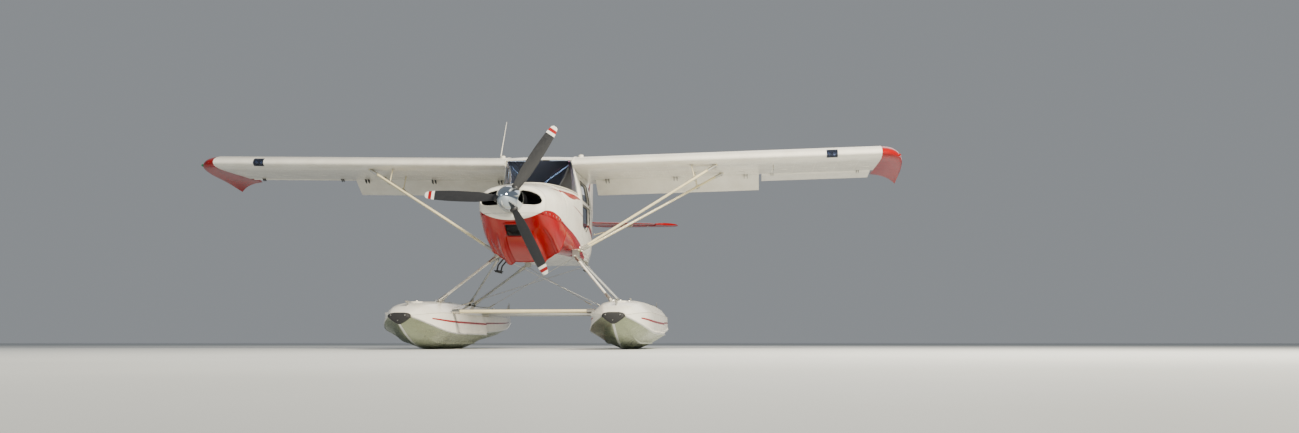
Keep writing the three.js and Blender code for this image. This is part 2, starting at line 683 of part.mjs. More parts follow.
// Propeller
function spinner() {
  const steps = 9;
  const nose = Array.from({ length: steps }, (_, i) => {
    const t = i / (steps - 1);
    return new THREE.Vector2(SPINNER_RADIUS * Math.sqrt(1 - (1 - t) ** 2) ** 1.15, t * (SPINNER_BASE_Y - SPINNER_TIP_Y));
  });
  const depth = SPINNER_BASE_Y - SPINNER_TIP_Y;
  const shaftEnd = -1504 - SPINNER_TIP_Y;
  const profile = [...nose, new THREE.Vector2(SPINNER_RADIUS, depth + 12),
    new THREE.Vector2(46, depth + 12), new THREE.Vector2(46, shaftEnd), new THREE.Vector2(0, shaftEnd)];
  const geometry = new THREE.LatheGeometry(profile, 28);
  geometry.translate(0, SPINNER_TIP_Y, PROP_Z);
  return toGeometry(toSolid(geometry));
}

// Blade: radius, chord, thickness, pitch in degrees
const BLADE_TABLE = [
  [120, 84, 56, 48],
  [200, 112, 36, 42],
  [400, 152, 22, 31],
  [650, 146, 15, 23],
  [880, 122, 10, 18],
  [985, 92, 8, 16],
  [PROP_RADIUS, 48, 6, 15],
];

function blade(angle) {
  const section = [[-0.5, 0], [-0.3, 0.42], [0.05, 0.5], [0.5, 0.06], [0.5, -0.06], [0.05, -0.2], [-0.3, -0.25]];
  return loft(BLADE_TABLE.map(([radius, chord, thickness, pitch]) => section.map(([a, b]) => {
    const across = a * chord * cos(pitch) - b * thickness * sin(pitch);
    const ahead = a * chord * sin(pitch) + b * thickness * cos(pitch);
    return [radius * cos(angle) - across * sin(angle), PROP_Y - ahead,
      PROP_Z + radius * sin(angle) + across * cos(angle)];
  })));
}

const spinnerBody = add("spinner", spinner(), POLISHED);
BLADE_ANGLES.forEach((angle, i) => {
  const outward = [GAP * 1.5 * cos(angle), 0, GAP * 1.5 * sin(angle)];
  add(`propeller_blade_${i + 1}`, trim(blade(angle), spinnerBody, [outward]), DARK_METAL);
});

// Struts: name, inner end, outer end, length along the flow, thickness
const WING_STRUTS = {
  front: [[520, -72, 1280], [2530, 210, 2560], 92, 36],
  rear: [[520, 28, 1280], [2545, 985, 2530], 78, 32],
};
const JURY_AT = 0.8;                   // of the strut's length

function wingStrut([from, to, length, thickness]) {
  const foot = from.map((value, i) => lerp(value, to[i], JURY_AT));
  const post = strut(foot, [foot[0] - 40, foot[1], 2555], 30, 14);
  const whole = join(strut(from, to, length, thickness), post);
  return trim(trim(whole, front, [[GAP, 0, 0], [0, 0, GAP]]), wingLeft, [[0, 0, -GAP]]);
}

for (const [name, row] of Object.entries(WING_STRUTS)) addPair(`wing_strut_${name}`, wingStrut(row), CREAM);

// Float struts: upper end, lower end, length along the flow, thickness
const FLOAT_STRUTS = {
  front: [[510, -75, 1262], [1165, -863, 560], 88, 34],
  diagonal: [[515, 35, 1262], [1120, 650, 575], 60, 28],
  rear: [[420, 1500, 1245], [1120, 770, 575], 84, 34],
};
for (const [name, [top, foot, length, thickness]] of Object.entries(FLOAT_STRUTS)) {
  const bar = strut(top, foot, length, thickness);
  const carrier = name === "rear" ? floorPlate : front;
  const clear = trim(trim(bar, carrier, [[0, 0, -GAP], [GAP, 0, 0]]), hull, [[0, 0, GAP]]);
  addPair(`float_strut_${name}`, clear, WHITE);
}

// Aerial on the right wing
const aerial = rod([-600, 300, 2620], [-580, 590, 3225], 8, 3, 8);
add("aerial", trim(aerial, mirrored(wingLeft), [[0, 0, GAP]]), WHITE);

// Seats, drawn from the side as y and z
const FRONT_SEAT = [[330, 1310], [760, 1310], [860, 1500], [1010, 2080], [930, 2100], [760, 1560], [330, 1590]];
const REAR_SEAT = [[1330, 1310], [1820, 1310], [1990, 2020], [1900, 2040], [1740, 1530], [1330, 1560]];
addPair("front_seat", sidePrism(FRONT_SEAT, 40, 440), LEATHER);
add("rear_seat", sidePrism(REAR_SEAT, -370, 370), LEATHER);

// Instrument panel with its hood
const PANEL = [[-190, 1700], [-150, 1700], [-185, 2062], [-420, 2062], [-420, 2046], [-225, 2040]];
add("instrument_panel", sidePrism(PANEL, -405, 405), BLACK);

aircraft.position.y = -MID_Y;
const part = new THREE.Group();
part.add(aircraft);
export default part;
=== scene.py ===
"""Light high-wing floatplane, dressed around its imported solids.

Metres. +X is towards the left wing tip, +Y is aft and +Z is up, with the keels on z = 0.
Shapes are drawn with y = 0 at the wing's leading edge and moved back by AFT_SHIFT when they are made.
"""

import math
from itertools import product

import bmesh
import bpy
import numpy as np
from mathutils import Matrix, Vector
from mathutils.geometry import delaunay_2d_cdt


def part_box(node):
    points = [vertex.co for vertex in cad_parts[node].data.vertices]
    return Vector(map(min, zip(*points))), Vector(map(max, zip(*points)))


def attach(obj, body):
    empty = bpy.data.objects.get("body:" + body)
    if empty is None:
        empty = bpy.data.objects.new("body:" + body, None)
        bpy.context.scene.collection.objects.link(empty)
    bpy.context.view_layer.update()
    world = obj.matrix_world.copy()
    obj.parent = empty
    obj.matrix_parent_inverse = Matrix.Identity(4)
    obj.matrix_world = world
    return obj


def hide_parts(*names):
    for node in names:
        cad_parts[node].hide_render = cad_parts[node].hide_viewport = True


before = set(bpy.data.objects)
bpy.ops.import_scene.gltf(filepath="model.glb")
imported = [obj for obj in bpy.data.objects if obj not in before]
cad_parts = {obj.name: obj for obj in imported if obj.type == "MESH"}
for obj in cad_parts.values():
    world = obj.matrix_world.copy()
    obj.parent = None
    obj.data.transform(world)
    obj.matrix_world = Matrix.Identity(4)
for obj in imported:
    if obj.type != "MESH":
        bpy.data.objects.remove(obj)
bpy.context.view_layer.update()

# Driving dimensions
SPINNER_TIP_Y = -2.112
SPINNER_BASE_Y = -1.735
AFT_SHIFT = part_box("spinner")[0].y - SPINNER_TIP_Y
SIDES = ("left", "right")
BOTH = (1, -1)
# Gap left between two pieces that meet
GAP = 0.0004
CHORD = 1.6
WING_THICKNESS = 0.13
WING_CAMBER = 0.035
CAMBER_AT = 0.4
WING_Z = 2.52
INCIDENCE = math.radians(2)
DIHEDRAL = math.radians(1.24)
ROOT_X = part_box("wing_left")[0].x
END_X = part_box("wing_left")[1].x
TIP_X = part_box("wing_tip_left")[1].x
REAR_SHARE = 0.748
ROOT_PANEL_X = 0.602
HINGE_Y = 1.252
HINGE_DROP = 0.028
NOSE_RADIUS = 0.042
FLAP_SPAN = (0.62, 3.01)
AILERON_SPAN = (3.05, 4.6)
FLAP_REST = math.radians(35)
AILERON_REST = math.radians(8)
PROP_Y = -1.835
PROP_Z = 1.8
PROP_RADIUS = 1.025
SPINNER_RADIUS = 0.16
FIREWALL_Y = -0.745
FRONT_END_Y = 0.25
CABIN_END_Y = 2.15
BELLY_Z = 1.265
FLOOR_Z = 1.3
WALL = 0.03
WALL_TOP_Z = 2.44
TAIL_HINGE_Y = 4.905
TAIL_Z = 2.18
TAIL_END_Y = 5.25
FLOAT_X = 1.277
STEP_Y = 0.9
STERN_Y = 3.7
BOW_Y = -1.9


# Curves and outlines

def smooth(rows):
    """Function through the rows, each a place and its values, that runs smoothly with no overshoot"""
    rows = np.array(rows, float)
    place, value = rows[:, 0], rows[:, 1:]
    gap = np.diff(place)[:, None]
    slope = np.diff(value, axis=0) / gap
    tangent = np.zeros_like(value)
    agree = slope[:-1] * slope[1:]
    total = np.where(agree > 0, slope[:-1] + slope[1:], 1)
    tangent[1:-1] = np.where(agree > 0, 2 * agree / total, 0)
    tangent[0], tangent[-1] = slope[0], slope[-1]

    def at(t):
        k = int(np.clip(np.searchsorted(place, t) - 1, 0, len(gap) - 1))
        h = gap[k]
        s = float(np.clip((t - place[k]) / h[0], 0, 1))
        return ((1 + 2 * s) * (1 - s) ** 2 * value[k] + s * (1 - s) ** 2 * h * tangent[k]
                + s * s * (3 - 2 * s) * value[k + 1] - s * s * (1 - s) * h * tangent[k + 1])

    return at


def smooth_line(rows):
    """The same for rows of one value each"""
    at = smooth(rows)
    return lambda t: float(at(t)[0])


def ease(t):
    """Smooth step from 0 to 1"""
    t = min(1.0, max(0.0, t))
    return t * t * (3 - 2 * t)


def rounded(outline, radius, steps=6):
    """Closed outline with its corners rounded"""
    points = [np.array(p, float) for p in outline]
    out = []
    for i, p in enumerate(points):
        before, after = points[i - 1] - p, points[(i + 1) % len(points)] - p
        reach = min(radius, 0.45 * np.linalg.norm(before), 0.45 * np.linalg.norm(after))
        a = p + before / np.linalg.norm(before) * reach
        b = p + after / np.linalg.norm(after) * reach
        for k in range(steps + 1):
            t = k / steps
            out.append((1 - t) ** 2 * a + 2 * t * (1 - t) * p + t * t * b)
    return out


def spaced(points, step, closed=True):
    """The same line with points no further apart than step"""
    points = [np.array(p, float) for p in points]
    ends = points[1:] + points[:1] if closed else points[1:]
    out = []
    for a, b in zip(points, ends):
        n = max(1, math.ceil(np.linalg.norm(b - a) / step))
        out += [a + (b - a) * k / n for k in range(n)]
    return out if closed else out + [points[-1]]


def turns(count, start=0.0):
    """Angles spaced evenly round a circle"""
    return [2 * math.pi * (k + start) / count for k in range(count)]


def circle(centre, radius, sides):
    return [(centre[0] + radius * math.cos(a), centre[1] + radius * math.sin(a)) for a in turns(sides)]


def rect(low, high):
    return [low, (high[0], low[1]), high, (low[0], high[1])]


def part_way(start, end, share):
    """Place at a share of the way between two others"""
    start, end = np.array(start, float), np.array(end, float)
    return start + (end - start) * share


def opened(ring):
    """The ring as a line that starts and ends at its widest gap"""
    gap = max(range(len(ring)), key=lambda i: math.dist(ring[i], ring[(i + 1) % len(ring)]))
    return ring[gap + 1:] + ring[:gap + 1]


def evened(rows):
    """The rows with the same number of evenly spaced points in each"""
    count = min(len(row) for row in rows)
    even = []
    for row in rows:
        points = np.array(row)
        reach = np.concatenate([[0], np.cumsum(np.linalg.norm(np.diff(points, axis=0), axis=1))])
        at = np.linspace(0, reach[-1], count)
        even.append(np.stack([np.interp(at, reach, points[:, k]) for k in range(3)], 1))
    return even


def inside(point, outline):
    """Whether a point lies in a closed outline"""
    x, y = point
    hit = False
    for (ax, ay), (bx, by) in zip(outline, outline[1:] + outline[:1]):
        if (ay > y) != (by > y) and x < (bx - ax) * (y - ay) / (by - ay) + ax:
            hit = not hit
    return hit


def unit(v):
    v = np.array(v, float)
    return v / max(1e-12, np.linalg.norm(v))


# Pieces

class Shape:
    """Points and faces gathered for one piece; a finish is the number of a face's material"""

    def __init__(self):
        self.points = []
        self.faces = []
        self.finish = []

    def add(self, points, faces, finish=0):
        base = len(self.points)
        self.points.extend([tuple(float(c) for c in p) for p in points])
        self.faces.extend([[base + i for i in face] for face in faces])
        self.finish.extend(finish if isinstance(finish, list) else [finish] * len(faces))

    def grid(self, rings, finish=0, closed=True, caps=True):
        """Skin over rings of points; finish may list a material for each step round the ring"""
        count, size = len(rings), len(rings[0])
        across = size if closed else size - 1
        column = finish if isinstance(finish, list) else [finish] * across
        faces, finishes = [], []
        for r in range(count - 1):
            for i in range(across):
                a, b = r * size + i, r * size + (i + 1) % size
                faces.append([a, b, b + size, a + size])
                finishes.append(column[i])
        if caps and closed:
            faces.append(list(range(size))[::-1])
            faces.append([(count - 1) * size + i for i in range(size)])
            finishes += [column[0]] * 2
        self.add([p for ring in rings for p in ring], faces, finishes)

    def sheet(self, rows, thickness, finish=0, back=None, skip=None):
        """Open grid of points given a thickness behind it; skip(centre) leaves a hole"""
        rows = np.array(rows, float)
        normal = np.cross(np.gradient(rows, axis=0), np.gradient(rows, axis=1))
        normal /= np.maximum(np.linalg.norm(normal, axis=2, keepdims=True), 1e-12)
        behind = rows - normal * thickness
        n, m = rows.shape[:2]
        front = [[r * m + c, r * m + c + 1, (r + 1) * m + c + 1, (r + 1) * m + c]
                 for r in range(n - 1) for c in range(m - 1)]
        if skip:
            flat = rows.reshape(-1, 3)
            front = [face for face in front if not skip(flat[face].mean(axis=0))]
        self.closed(rows.reshape(-1, 3), behind.reshape(-1, 3), front, finish, back)

    def closed(self, outer, inner, front, finish=0, back=None):
        """Two matching skins, with a wall along every open edge"""
        count = len(outer)
        used = {(a, b) for face in front for a, b in zip(face, list(face[1:]) + [face[0]])}
        rear = [[i + count for i in face[::-1]] for face in front]
        wall_faces = [[b, a, a + count, b + count] for a, b in sorted(used) if (b, a) not in used]
        back = finish if back is None else back
        self.add([*outer, *inner], [list(face) for face in front] + rear + wall_faces,
                 [finish] * len(front) + [back] * len(rear) + [finish] * len(wall_faces))

    def panel(self, outline, holes, place, step, depth, finish=0, back=None):
        """Closed sheet of a flat outline with holes, carried to its surface by place(u, v, depth)"""
        loops = [[tuple(p) for p in spaced(loop, step)] for loop in [outline, *holes]]

        def kept(at):
            return inside(at, loops[0]) and not any(inside(at, loop) for loop in loops[1:])

        points, edges = [], []
        for loop in loops:
            base = len(points)
            points += loop
            edges += [(base + i, base + (i + 1) % len(loop)) for i in range(len(loop))]
        low, high = np.min(loops[0], axis=0), np.max(loops[0], axis=0)
        rim = np.array(points)
        for u in np.arange(low[0] + step / 2, high[0], step):
            for v in np.arange(low[1] + step / 2, high[1], step):
                near = np.min(np.hypot(rim[:, 0] - u, rim[:, 1] - v))
                if near > step * 0.45 and kept((u, v)):
                    points.append((u, v))
        flat, _, faces, *_ = delaunay_2d_cdt([Vector(p) for p in points], edges, [], 1, 1e-6)
        middle = [tuple(sum(flat[i][k] for i in face) / len(face) for k in range(2)) for face in faces]
        faces = [face for face, at in zip(faces, middle) if kept(at)]
        self.closed([place(p[0], p[1], 0.0) for p in flat], [place(p[0], p[1], depth) for p in flat],
                    faces, finish, back)

    def box(self, low, high, finish=0):
        x, y, z = zip(low, high)
        self.grid([[(a, *p) for p in rect((y[0], z[0]), (y[1], z[1]))] for a in x], finish)

    def tube(self, path, radius, sides=10, finish=0, flat=1.0, up=(0, 0, 1)):
        """Round or oval bar along a path; radius may list one for each point"""
        path = [np.array(p, float) for p in path]
        radii = radius if isinstance(radius, (list, tuple)) else [radius] * len(path)
        rings = []
        for i, p in enumerate(path):
            along = unit(path[min(i + 1, len(path) - 1)] - path[max(i - 1, 0)])
            side = np.cross(along, up)
            if np.linalg.norm(side) < 0.05:
                side = np.cross(along, (1, 0, 0))
            side = unit(side)
            over = np.cross(side, along)
            rings.append([p + radii[i] * (math.cos(a) * side + flat * math.sin(a) * over)
                          for a in turns(sides)])
        self.grid(rings, finish)

    def lathe(self, profile, centre, axis, sides=24, finish=0):
        """Solid turned about an axis; the profile lists radius and height along it"""
        axis = unit(axis)
        side = unit(np.cross(axis, (0, 0, 1) if abs(axis[2]) < 0.9 else (0, 1, 0)))
        over = np.cross(axis, side)
        rings = [[np.array(centre) + axis * h + max(r, 1e-4) * (math.cos(a) * side + math.sin(a) * over)
                  for a in turns(sides)] for r, h in profile]
        self.grid(rings, finish)

    def stud(self, at, normal, radius=0.004, height=0.0015, finish=0):
        """Low domed head"""
        profile = [(radius, -0.001), (radius, height * 0.35), (radius * 0.6, height)]
        self.lathe(profile, at, normal, 6, finish)

    def bolt(self, at, normal, radius=0.008, finish=0):
        """Hexagonal head on a washer"""
        self.lathe([(radius * 1.5, -0.001), (radius * 1.5, 0.0015)], at, normal, 12, finish)
        self.lathe([(radius, 0.001), (radius, radius * 0.8)], at, normal, 6, finish)

    def prism(self, outline, low, high, axis="x", finish=0):
        """Flat outline given a thickness along an axis: [y, z] for x, [x, z] for y and [x, y] for z"""
        turn = {"x": lambda h, p: (h, p[0], p[1]), "y": lambda h, p: (p[0], h, p[1]),
                "z": lambda h, p: (p[0], p[1], h)}[axis]
        self.grid([[turn(h, p) for p in outline] for h in (low, high)], finish)

    def join(self, other):
        self.add(other.points, other.faces, other.finish)

    def mirrored(self):
        """The same shape on the other side of the centre plane"""
        other = Shape()
        other.points = [(-x, y, z) for x, y, z in self.points]
        other.faces = [face[::-1] for face in self.faces]
        other.finish = list(self.finish)
        return other


def outward_mesh(name, points, faces):
    """Mesh with all its faces turned outwards"""
    mesh = bpy.data.meshes.new(name)
    mesh.from_pydata(points, [], faces)
    soft = bmesh.new()
    soft.from_mesh(mesh)
    bmesh.ops.recalc_face_normals(soft, faces=soft.faces)
    soft.to_mesh(mesh)
    soft.free()
    return mesh


def linked(name, data):
    """New object in the scene"""
    obj = bpy.data.objects.new(name, data)
    bpy.context.scene.collection.objects.link(obj)
    return obj


def piece(name, shape, materials, slot, body="airframe", replaces=(), sharp=32, bevel=0.0):
    """The shape as an object that rides on a body and replaces the nodes given, or the node of its name"""
    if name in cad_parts:
        replaces = (name,)
        name = f"{name}_visual"
    mesh = outward_mesh(name, [(x, y + AFT_SHIFT, z) for x, y, z in shape.points], shape.faces)
    for finish in materials if isinstance(materials, list) else [materials]:
        mesh.materials.append(finish)
    mesh.polygons.foreach_set("material_index", shape.finish)
    mesh.polygons.foreach_set("use_smooth", [True] * len(mesh.polygons))
    mesh.set_sharp_from_angle(angle=math.radians(sharp))
    obj = linked(name, mesh)
    if bevel:
        edge = obj.modifiers.new("Rounded edges", "BEVEL")
        edge.width = bevel
        edge.segments = 2
        edge.limit_method = "ANGLE"
        edge.angle_limit = math.radians(40)
        edge.harden_normals = True
    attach(obj, body)
    if replaces:
        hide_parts(*replaces)
    return obj


def pair(name, shape, materials, slot, body="airframe", **settings):
    """The shape on the left and its mirror image on the right; a * in the body is the side"""
    for side in SIDES:
        whole = shape if side == "left" else shape.mirrored()
        piece(f"{name}_{side}", whole, materials, slot, body.replace("*", side), **settings)


# Materials

class Tree:
    """Node tree of a new material"""

    def __init__(self, name):
        self.material = bpy.data.materials.new(name)
        self.material.use_nodes = True
        self.nodes = self.material.node_tree.nodes
        self.links = self.material.node_tree.links
        self.shader = self.nodes["Principled BSDF"]
        self.place = self.nodes.new("ShaderNodeTexCoord").outputs["Object"]
        self.x, self.y, self.z = self.node("ShaderNodeSeparateXYZ", self.place).outputs

    def fill(self, socket, value):
        """Links a socket to another, or sets it to a value or a colour"""
        if isinstance(value, bpy.types.NodeSocket):
            self.links.new(value, socket)
        elif isinstance(value, tuple) and socket.type == "RGBA":
            socket.default_value = (*value, 1)
        elif value is not None:
            socket.default_value = value

    def node(self, kind, *inputs, **settings):
        made = self.nodes.new(kind)
        for key, value in settings.items():
            setattr(made, key, value)
        for socket, value in zip(made.inputs, inputs):
            self.fill(socket, value)
        return made

    def math(self, operation, a, b=None):
        return self.node("ShaderNodeMath", a, b, operation=operation).outputs[0]

    def plus(self, a, b):
        return self.math("ADD", a, b)

    def minus(self, a, b):
        return self.math("SUBTRACT", a, b)

    def times(self, a, b):
        return self.math("MULTIPLY", a, b)

    def larger(self, a, b):
        return self.math("MAXIMUM", a, b)

    def noise(self, scale, detail, stretch=None):
        place = self.place
        if stretch:
            place = self.node("ShaderNodeVectorMath", place, stretch, operation="MULTIPLY").outputs[0]
        made = self.node("ShaderNodeTexNoise")
        inputs = {"Vector": place, "Scale": scale, "Detail": detail, "Roughness": 0.55}
        for name, value in inputs.items():
            self.fill(made.inputs[name], value)
        return made.outputs["Fac"]

    def span(self, value, low, high, to_low=0.0, to_high=1.0):
        """The value with its range from low to high carried to another range"""
        return self.node("ShaderNodeMapRange", value, low, high, to_low, to_high).outputs[0]

    def patches(self, scale, detail, low, high, to_low=0.0, to_high=1.0, stretch=None):
        return self.span(self.noise(scale, detail, stretch), low, high, to_low, to_high)

    def mix(self, share, a, b, blend="MIX"):
        made = self.node("ShaderNodeMix", data_type="RGBA", blend_type=blend)
        for number, value in ((0, share), (6, a), (7, b)):
            self.fill(made.inputs[number], value)
        return made.outputs[2]

    def mottled(self, colour, dark, scale, detail, most):
        """The colour with soft patches of a darker shade of it"""
        return self.mix(self.patches(scale, detail, 0.3, 0.7, 0.0, most), colour, shaded(colour, dark))

    def bump(self, height, strength, distance, before=None):
        made = self.node("ShaderNodeBump")
        inputs = {"Strength": strength, "Distance": distance, "Height": height, "Normal": before}
        for name, value in inputs.items():
            self.fill(made.inputs[name], value)
        return made.outputs[0]

    def curve(self, along, points):
        """Height of a curve through [place, height] points, flat beyond its ends"""
        places = [p[0] for p in points]
        heights = [p[1] for p in points]
        low, high = min(heights), max(max(heights), min(heights) + 1e-3)
        share = self.span(along, places[0], places[-1])
        made = self.node("ShaderNodeFloatCurve")
        line = made.mapping.curves[0]
        for i, (place, height) in enumerate(points):
            at = ((place - places[0]) / (places[-1] - places[0]), (height - low) / (high - low))
            if i in (0, len(points) - 1):
                line.points[0 if i == 0 else -1].location = at
            else:
                line.points.new(*at)
        made.mapping.update()
        self.links.new(share, made.inputs["Value"])
        return self.span(made.outputs[0], 0.0, 1.0, low, high)

    def above(self, a, b, soft=0.0015):
        """1 where a is greater than b"""
        return self.span(self.minus(a, b), -soft, soft)

    def between(self, value, low, high):
        """1 where the value lies between two others"""
        return self.times(self.above(value, low), self.above(high, value))

    def squares(self, a, b):
        """Sum of two squares"""
        return self.plus(self.times(a, a), self.times(b, b))

    def set(self, **inputs):
        """The material with its shader's inputs filled"""
        for name, value in inputs.items():
            self.fill(self.shader.inputs[name.replace("_", " ")], value)
        return self.material


def shaded(colour, share):
    """The colour made darker or lighter"""
    return tuple(min(1, c * share) for c in colour)


WHITE_COLOUR = (0.84, 0.82, 0.74)
CREAM_COLOUR = (0.80, 0.72, 0.46)
RED_COLOUR = (0.30, 0.0, 0.0008)
DECK_COLOUR = (0.03, 0.032, 0.036)
# What old paint and the grime on it multiply the paint's colour by
FADING = (0.88, 0.86, 0.84)
GRIME = (0.32, 0.28, 0.22)


def gloss(tree, colour, grime=0.18):
    """Sprayed paint: faint orange peel and skin waves, worn gloss and grime that runs down"""
    dirt = tree.times(tree.patches(1.3, 4.0, 0.45, 0.75),
                      tree.patches(9.0, 4.0, 0.45, 0.8, stretch=(1.0, 1.0, 0.16)))
    dirt = tree.times(dirt, grime)
    faded = tree.mix(1.0, colour, FADING, "MULTIPLY")
    worn = tree.mix(tree.patches(5.0, 5.0, 0.3, 0.75), colour, faded)
    shade = tree.mix(dirt, worn, tree.mix(1.0, worn, GRIME, "MULTIPLY"))
    rough = tree.plus(tree.patches(14.0, 5.0, 0.3, 0.7, 0.11, 0.23), tree.times(dirt, 0.5))
    waves = tree.bump(tree.noise(2.6, 1.0), 0.22, 0.02)
    peel = tree.bump(tree.noise(320.0, 2.0), 0.05, 0.002, waves)
    return tree.set(Base_Color=shade, Roughness=rough, Normal=peel, Specular_IOR_Level=0.25,
                    Coat_Weight=0.1, Coat_Roughness=0.06)


def paint(name, colour, **settings):
    return gloss(Tree(name), colour, **settings)


# Paint edges seen from the side, each point a place aft and a height
RED_EDGE = [(-1.71, 1.645), (-1.45, 1.688), (-1.2, 1.665), (-0.88, 1.593), (-0.32, 1.519), (0.23, 1.425),
            (0.9, 1.30)]
# How far the red's edge dips in the middle of the nose, over which half width, and where the dip builds up
RED_EDGE_SAG = 0.1
SAG_HALF = 0.4
SAG_SPAN = (-1.4, -1.62)
SWOOSHES = [
    ([(-1.16, 2.017), (-0.78, 2.041), (-0.44, 2.052), (-0.05, 2.062), (0.25, 2.035)],
     [(-1.16, 2.017), (-0.78, 2.020), (-0.44, 1.975), (-0.05, 2.012), (0.25, 2.035)]),
    ([(-0.41, 1.890), (0.0, 1.872), (0.23, 1.852), (0.6, 1.80)],
     [(-0.41, 1.890), (0.0, 1.860), (0.23, 1.840), (0.6, 1.80)]),
    ([(0.62, 1.90), (0.95, 1.80), (1.3, 1.705), (1.7, 1.58), (2.2, 1.36)],
     [(0.62, 1.90), (0.95, 1.735), (1.3, 1.615), (1.7, 1.50), (2.2, 1.36)]),
]
# The flame's two edges on the fin, each point a height and a place aft
FLAME = [[(2.36, 4.42), (2.45, 4.31), (2.57, 4.25), (2.74, 4.44), (2.92, 4.72), (3.12, 5.00), (3.26, 5.20)],
         [(2.36, 4.42), (2.45, 4.44), (2.57, 4.49), (2.78, 4.68), (2.95, 4.86), (3.12, 5.07), (3.26, 5.20)]]
# Half width of the white belly, by place aft; red wraps under the corners outside it
BELLY_EDGE = [(-0.745, 0.20), (-0.4, 0.24), (0.0, 0.31), (0.4, 0.39), (0.9, 0.50)]


def moved(points):
    """Paint points in the frame that the materials see"""
    return [(y + AFT_SHIFT, z) for y, z in points]


def red_share(tree):
    """1 where the fuselage is red: below a flowing edge, outside the belly, and in the side's swooshes"""
    x, y, z = tree.x, tree.y, tree.z
    across = tree.times(x, 1 / SAG_HALF)
    sag = tree.larger(tree.minus(1.0, tree.times(across, across)), 0.0)
    front = tree.span(y, SAG_SPAN[0] + AFT_SHIFT, SAG_SPAN[1] + AFT_SHIFT)
    edge = tree.minus(tree.curve(y, moved(RED_EDGE)), tree.times(tree.times(sag, front), RED_EDGE_SAG))
    ahead = tree.above(RED_EDGE[-1][0] + AFT_SHIFT, y)
    outside = tree.above(tree.math("ABSOLUTE", x), tree.curve(y, moved(BELLY_EDGE)))
    cowl = tree.above(FIREWALL_Y + AFT_SHIFT + 0.002, y)
    red = tree.times(tree.times(tree.above(edge, z), ahead), tree.larger(outside, cowl))
    for upper, lower in SWOOSHES:
        mask = tree.between(z, tree.curve(y, moved(lower)), tree.curve(y, moved(upper)))
        ends = tree.between(y, upper[0][0] + AFT_SHIFT, upper[-1][0] + AFT_SHIFT)
        red = tree.larger(red, tree.times(mask, ends))
    return red


def body_paint(name):
    """White and red fuselage paint"""
    tree = Tree(name)
    return gloss(tree, tree.mix(red_share(tree), WHITE_COLOUR, RED_COLOUR))


def fin_paint(name):
    """White with one red flame that climbs aft"""
    tree = Tree(name)
    lead, trail = (tree.curve(tree.z, [(z, y + AFT_SHIFT) for z, y in line]) for line in FLAME)
    flame = tree.times(tree.between(tree.y, lead, trail), tree.above(tree.z, FLAME[0][0][0]))
    return gloss(tree, tree.mix(flame, WHITE_COLOUR, RED_COLOUR))


def bare_metal(name, colour, low, high, dull=0.35):
    """Sheet metal with a drawn grain, skin waves and water stains"""
    tree = Tree(name)
    stains = tree.patches(6.0, 6.0, 0.4, 0.7, stretch=(1.0, 0.5, 1.6))
    fine = tree.noise(160.0, 3.0, (1.0, 0.06, 1.0))
    shade = tree.mix(tree.times(stains, dull), colour, shaded(colour, 0.45))
    shade = tree.mix(tree.span(fine, 0.35, 0.7, 0.0, 0.18), shade, shaded(colour, 1.2))
    rough = tree.plus(tree.span(fine, 0.3, 0.7, low, high), tree.times(stains, 0.12))
    waves = tree.bump(tree.noise(4.5, 2.0), 0.35, 0.03)
    scratches = tree.bump(fine, 0.06, 0.002, waves)
    return tree.set(Base_Color=shade, Roughness=rough, Metallic=1.0, Normal=scratches)


def plain(name, colour, low, high, metal=0.0, scale=120.0, relief=0.1, spread=0.25, **inputs):
    """Plastic, rubber, cast or plated finish with a fine surface"""
    tree = Tree(name)
    fine = tree.noise(scale, 4.0)
    return tree.set(Base_Color=tree.mottled(colour, 0.6, 7.0, 4.0, spread),
                    Roughness=tree.span(fine, 0.3, 0.7, low, high), Metallic=metal,
                    Normal=tree.bump(fine, relief, 0.002), **inputs)


def glass(name, colour, clear, bend=1.3):
    """Tinted sheet, faintly smeared"""
    tree = Tree(name)
    return tree.set(Base_Color=tree.mottled(colour, 0.8, 3.0, 3.0, 0.3),
                    Roughness=tree.patches(16.0, 5.0, 0.35, 0.75, 0.0, 0.05), Transmission_Weight=clear,
                    IOR=bend, Normal=tree.bump(tree.noise(5.0, 2.0), 0.03, 0.01))


# How far in from a blade's end its white tip starts, and where the red band in it starts and ends
TIP_BAND = 0.115
RED_BAND = (0.080, 0.040)


def blade_paint(name):
    """Dark blade with white, red and white bands by its tip, and worn chips"""
    tree = Tree(name)
    radius = tree.math("SQRT", tree.squares(tree.x, tree.minus(tree.z, PROP_Z)))
    shade = tree.mix(tree.above(radius, PROP_RADIUS - TIP_BAND), (0.02, 0.021, 0.024), (0.80, 0.79, 0.74))
    red = tree.between(radius, PROP_RADIUS - RED_BAND[0], PROP_RADIUS - RED_BAND[1])
    shade = tree.mix(red, shade, RED_COLOUR)
    chips = tree.patches(140.0, 6.0, 0.66, 0.74)
    shade = tree.mix(tree.times(chips, 0.3), shade, (0.30, 0.30, 0.31))
    return tree.set(Base_Color=shade, Roughness=tree.patches(30.0, 4.0, 0.3, 0.7, 0.28, 0.5),
                    Normal=tree.bump(tree.noise(200.0, 2.0), 0.05, 0.001))


def woven(name, colour, thread=0.0016):
    """Cloth with a woven grain"""
    tree = Tree(name)
    over, under = (tree.math("SINE", tree.times(tree.plus(side, tree.z), 2 * math.pi / thread))
                   for side in (tree.x, tree.y))
    return tree.set(Base_Color=tree.mottled(colour, 0.55, 25.0, 4.0, 0.4), Roughness=0.9, Sheen_Weight=0.3,
                    Normal=tree.bump(tree.times(over, under), 0.4, 0.0006))


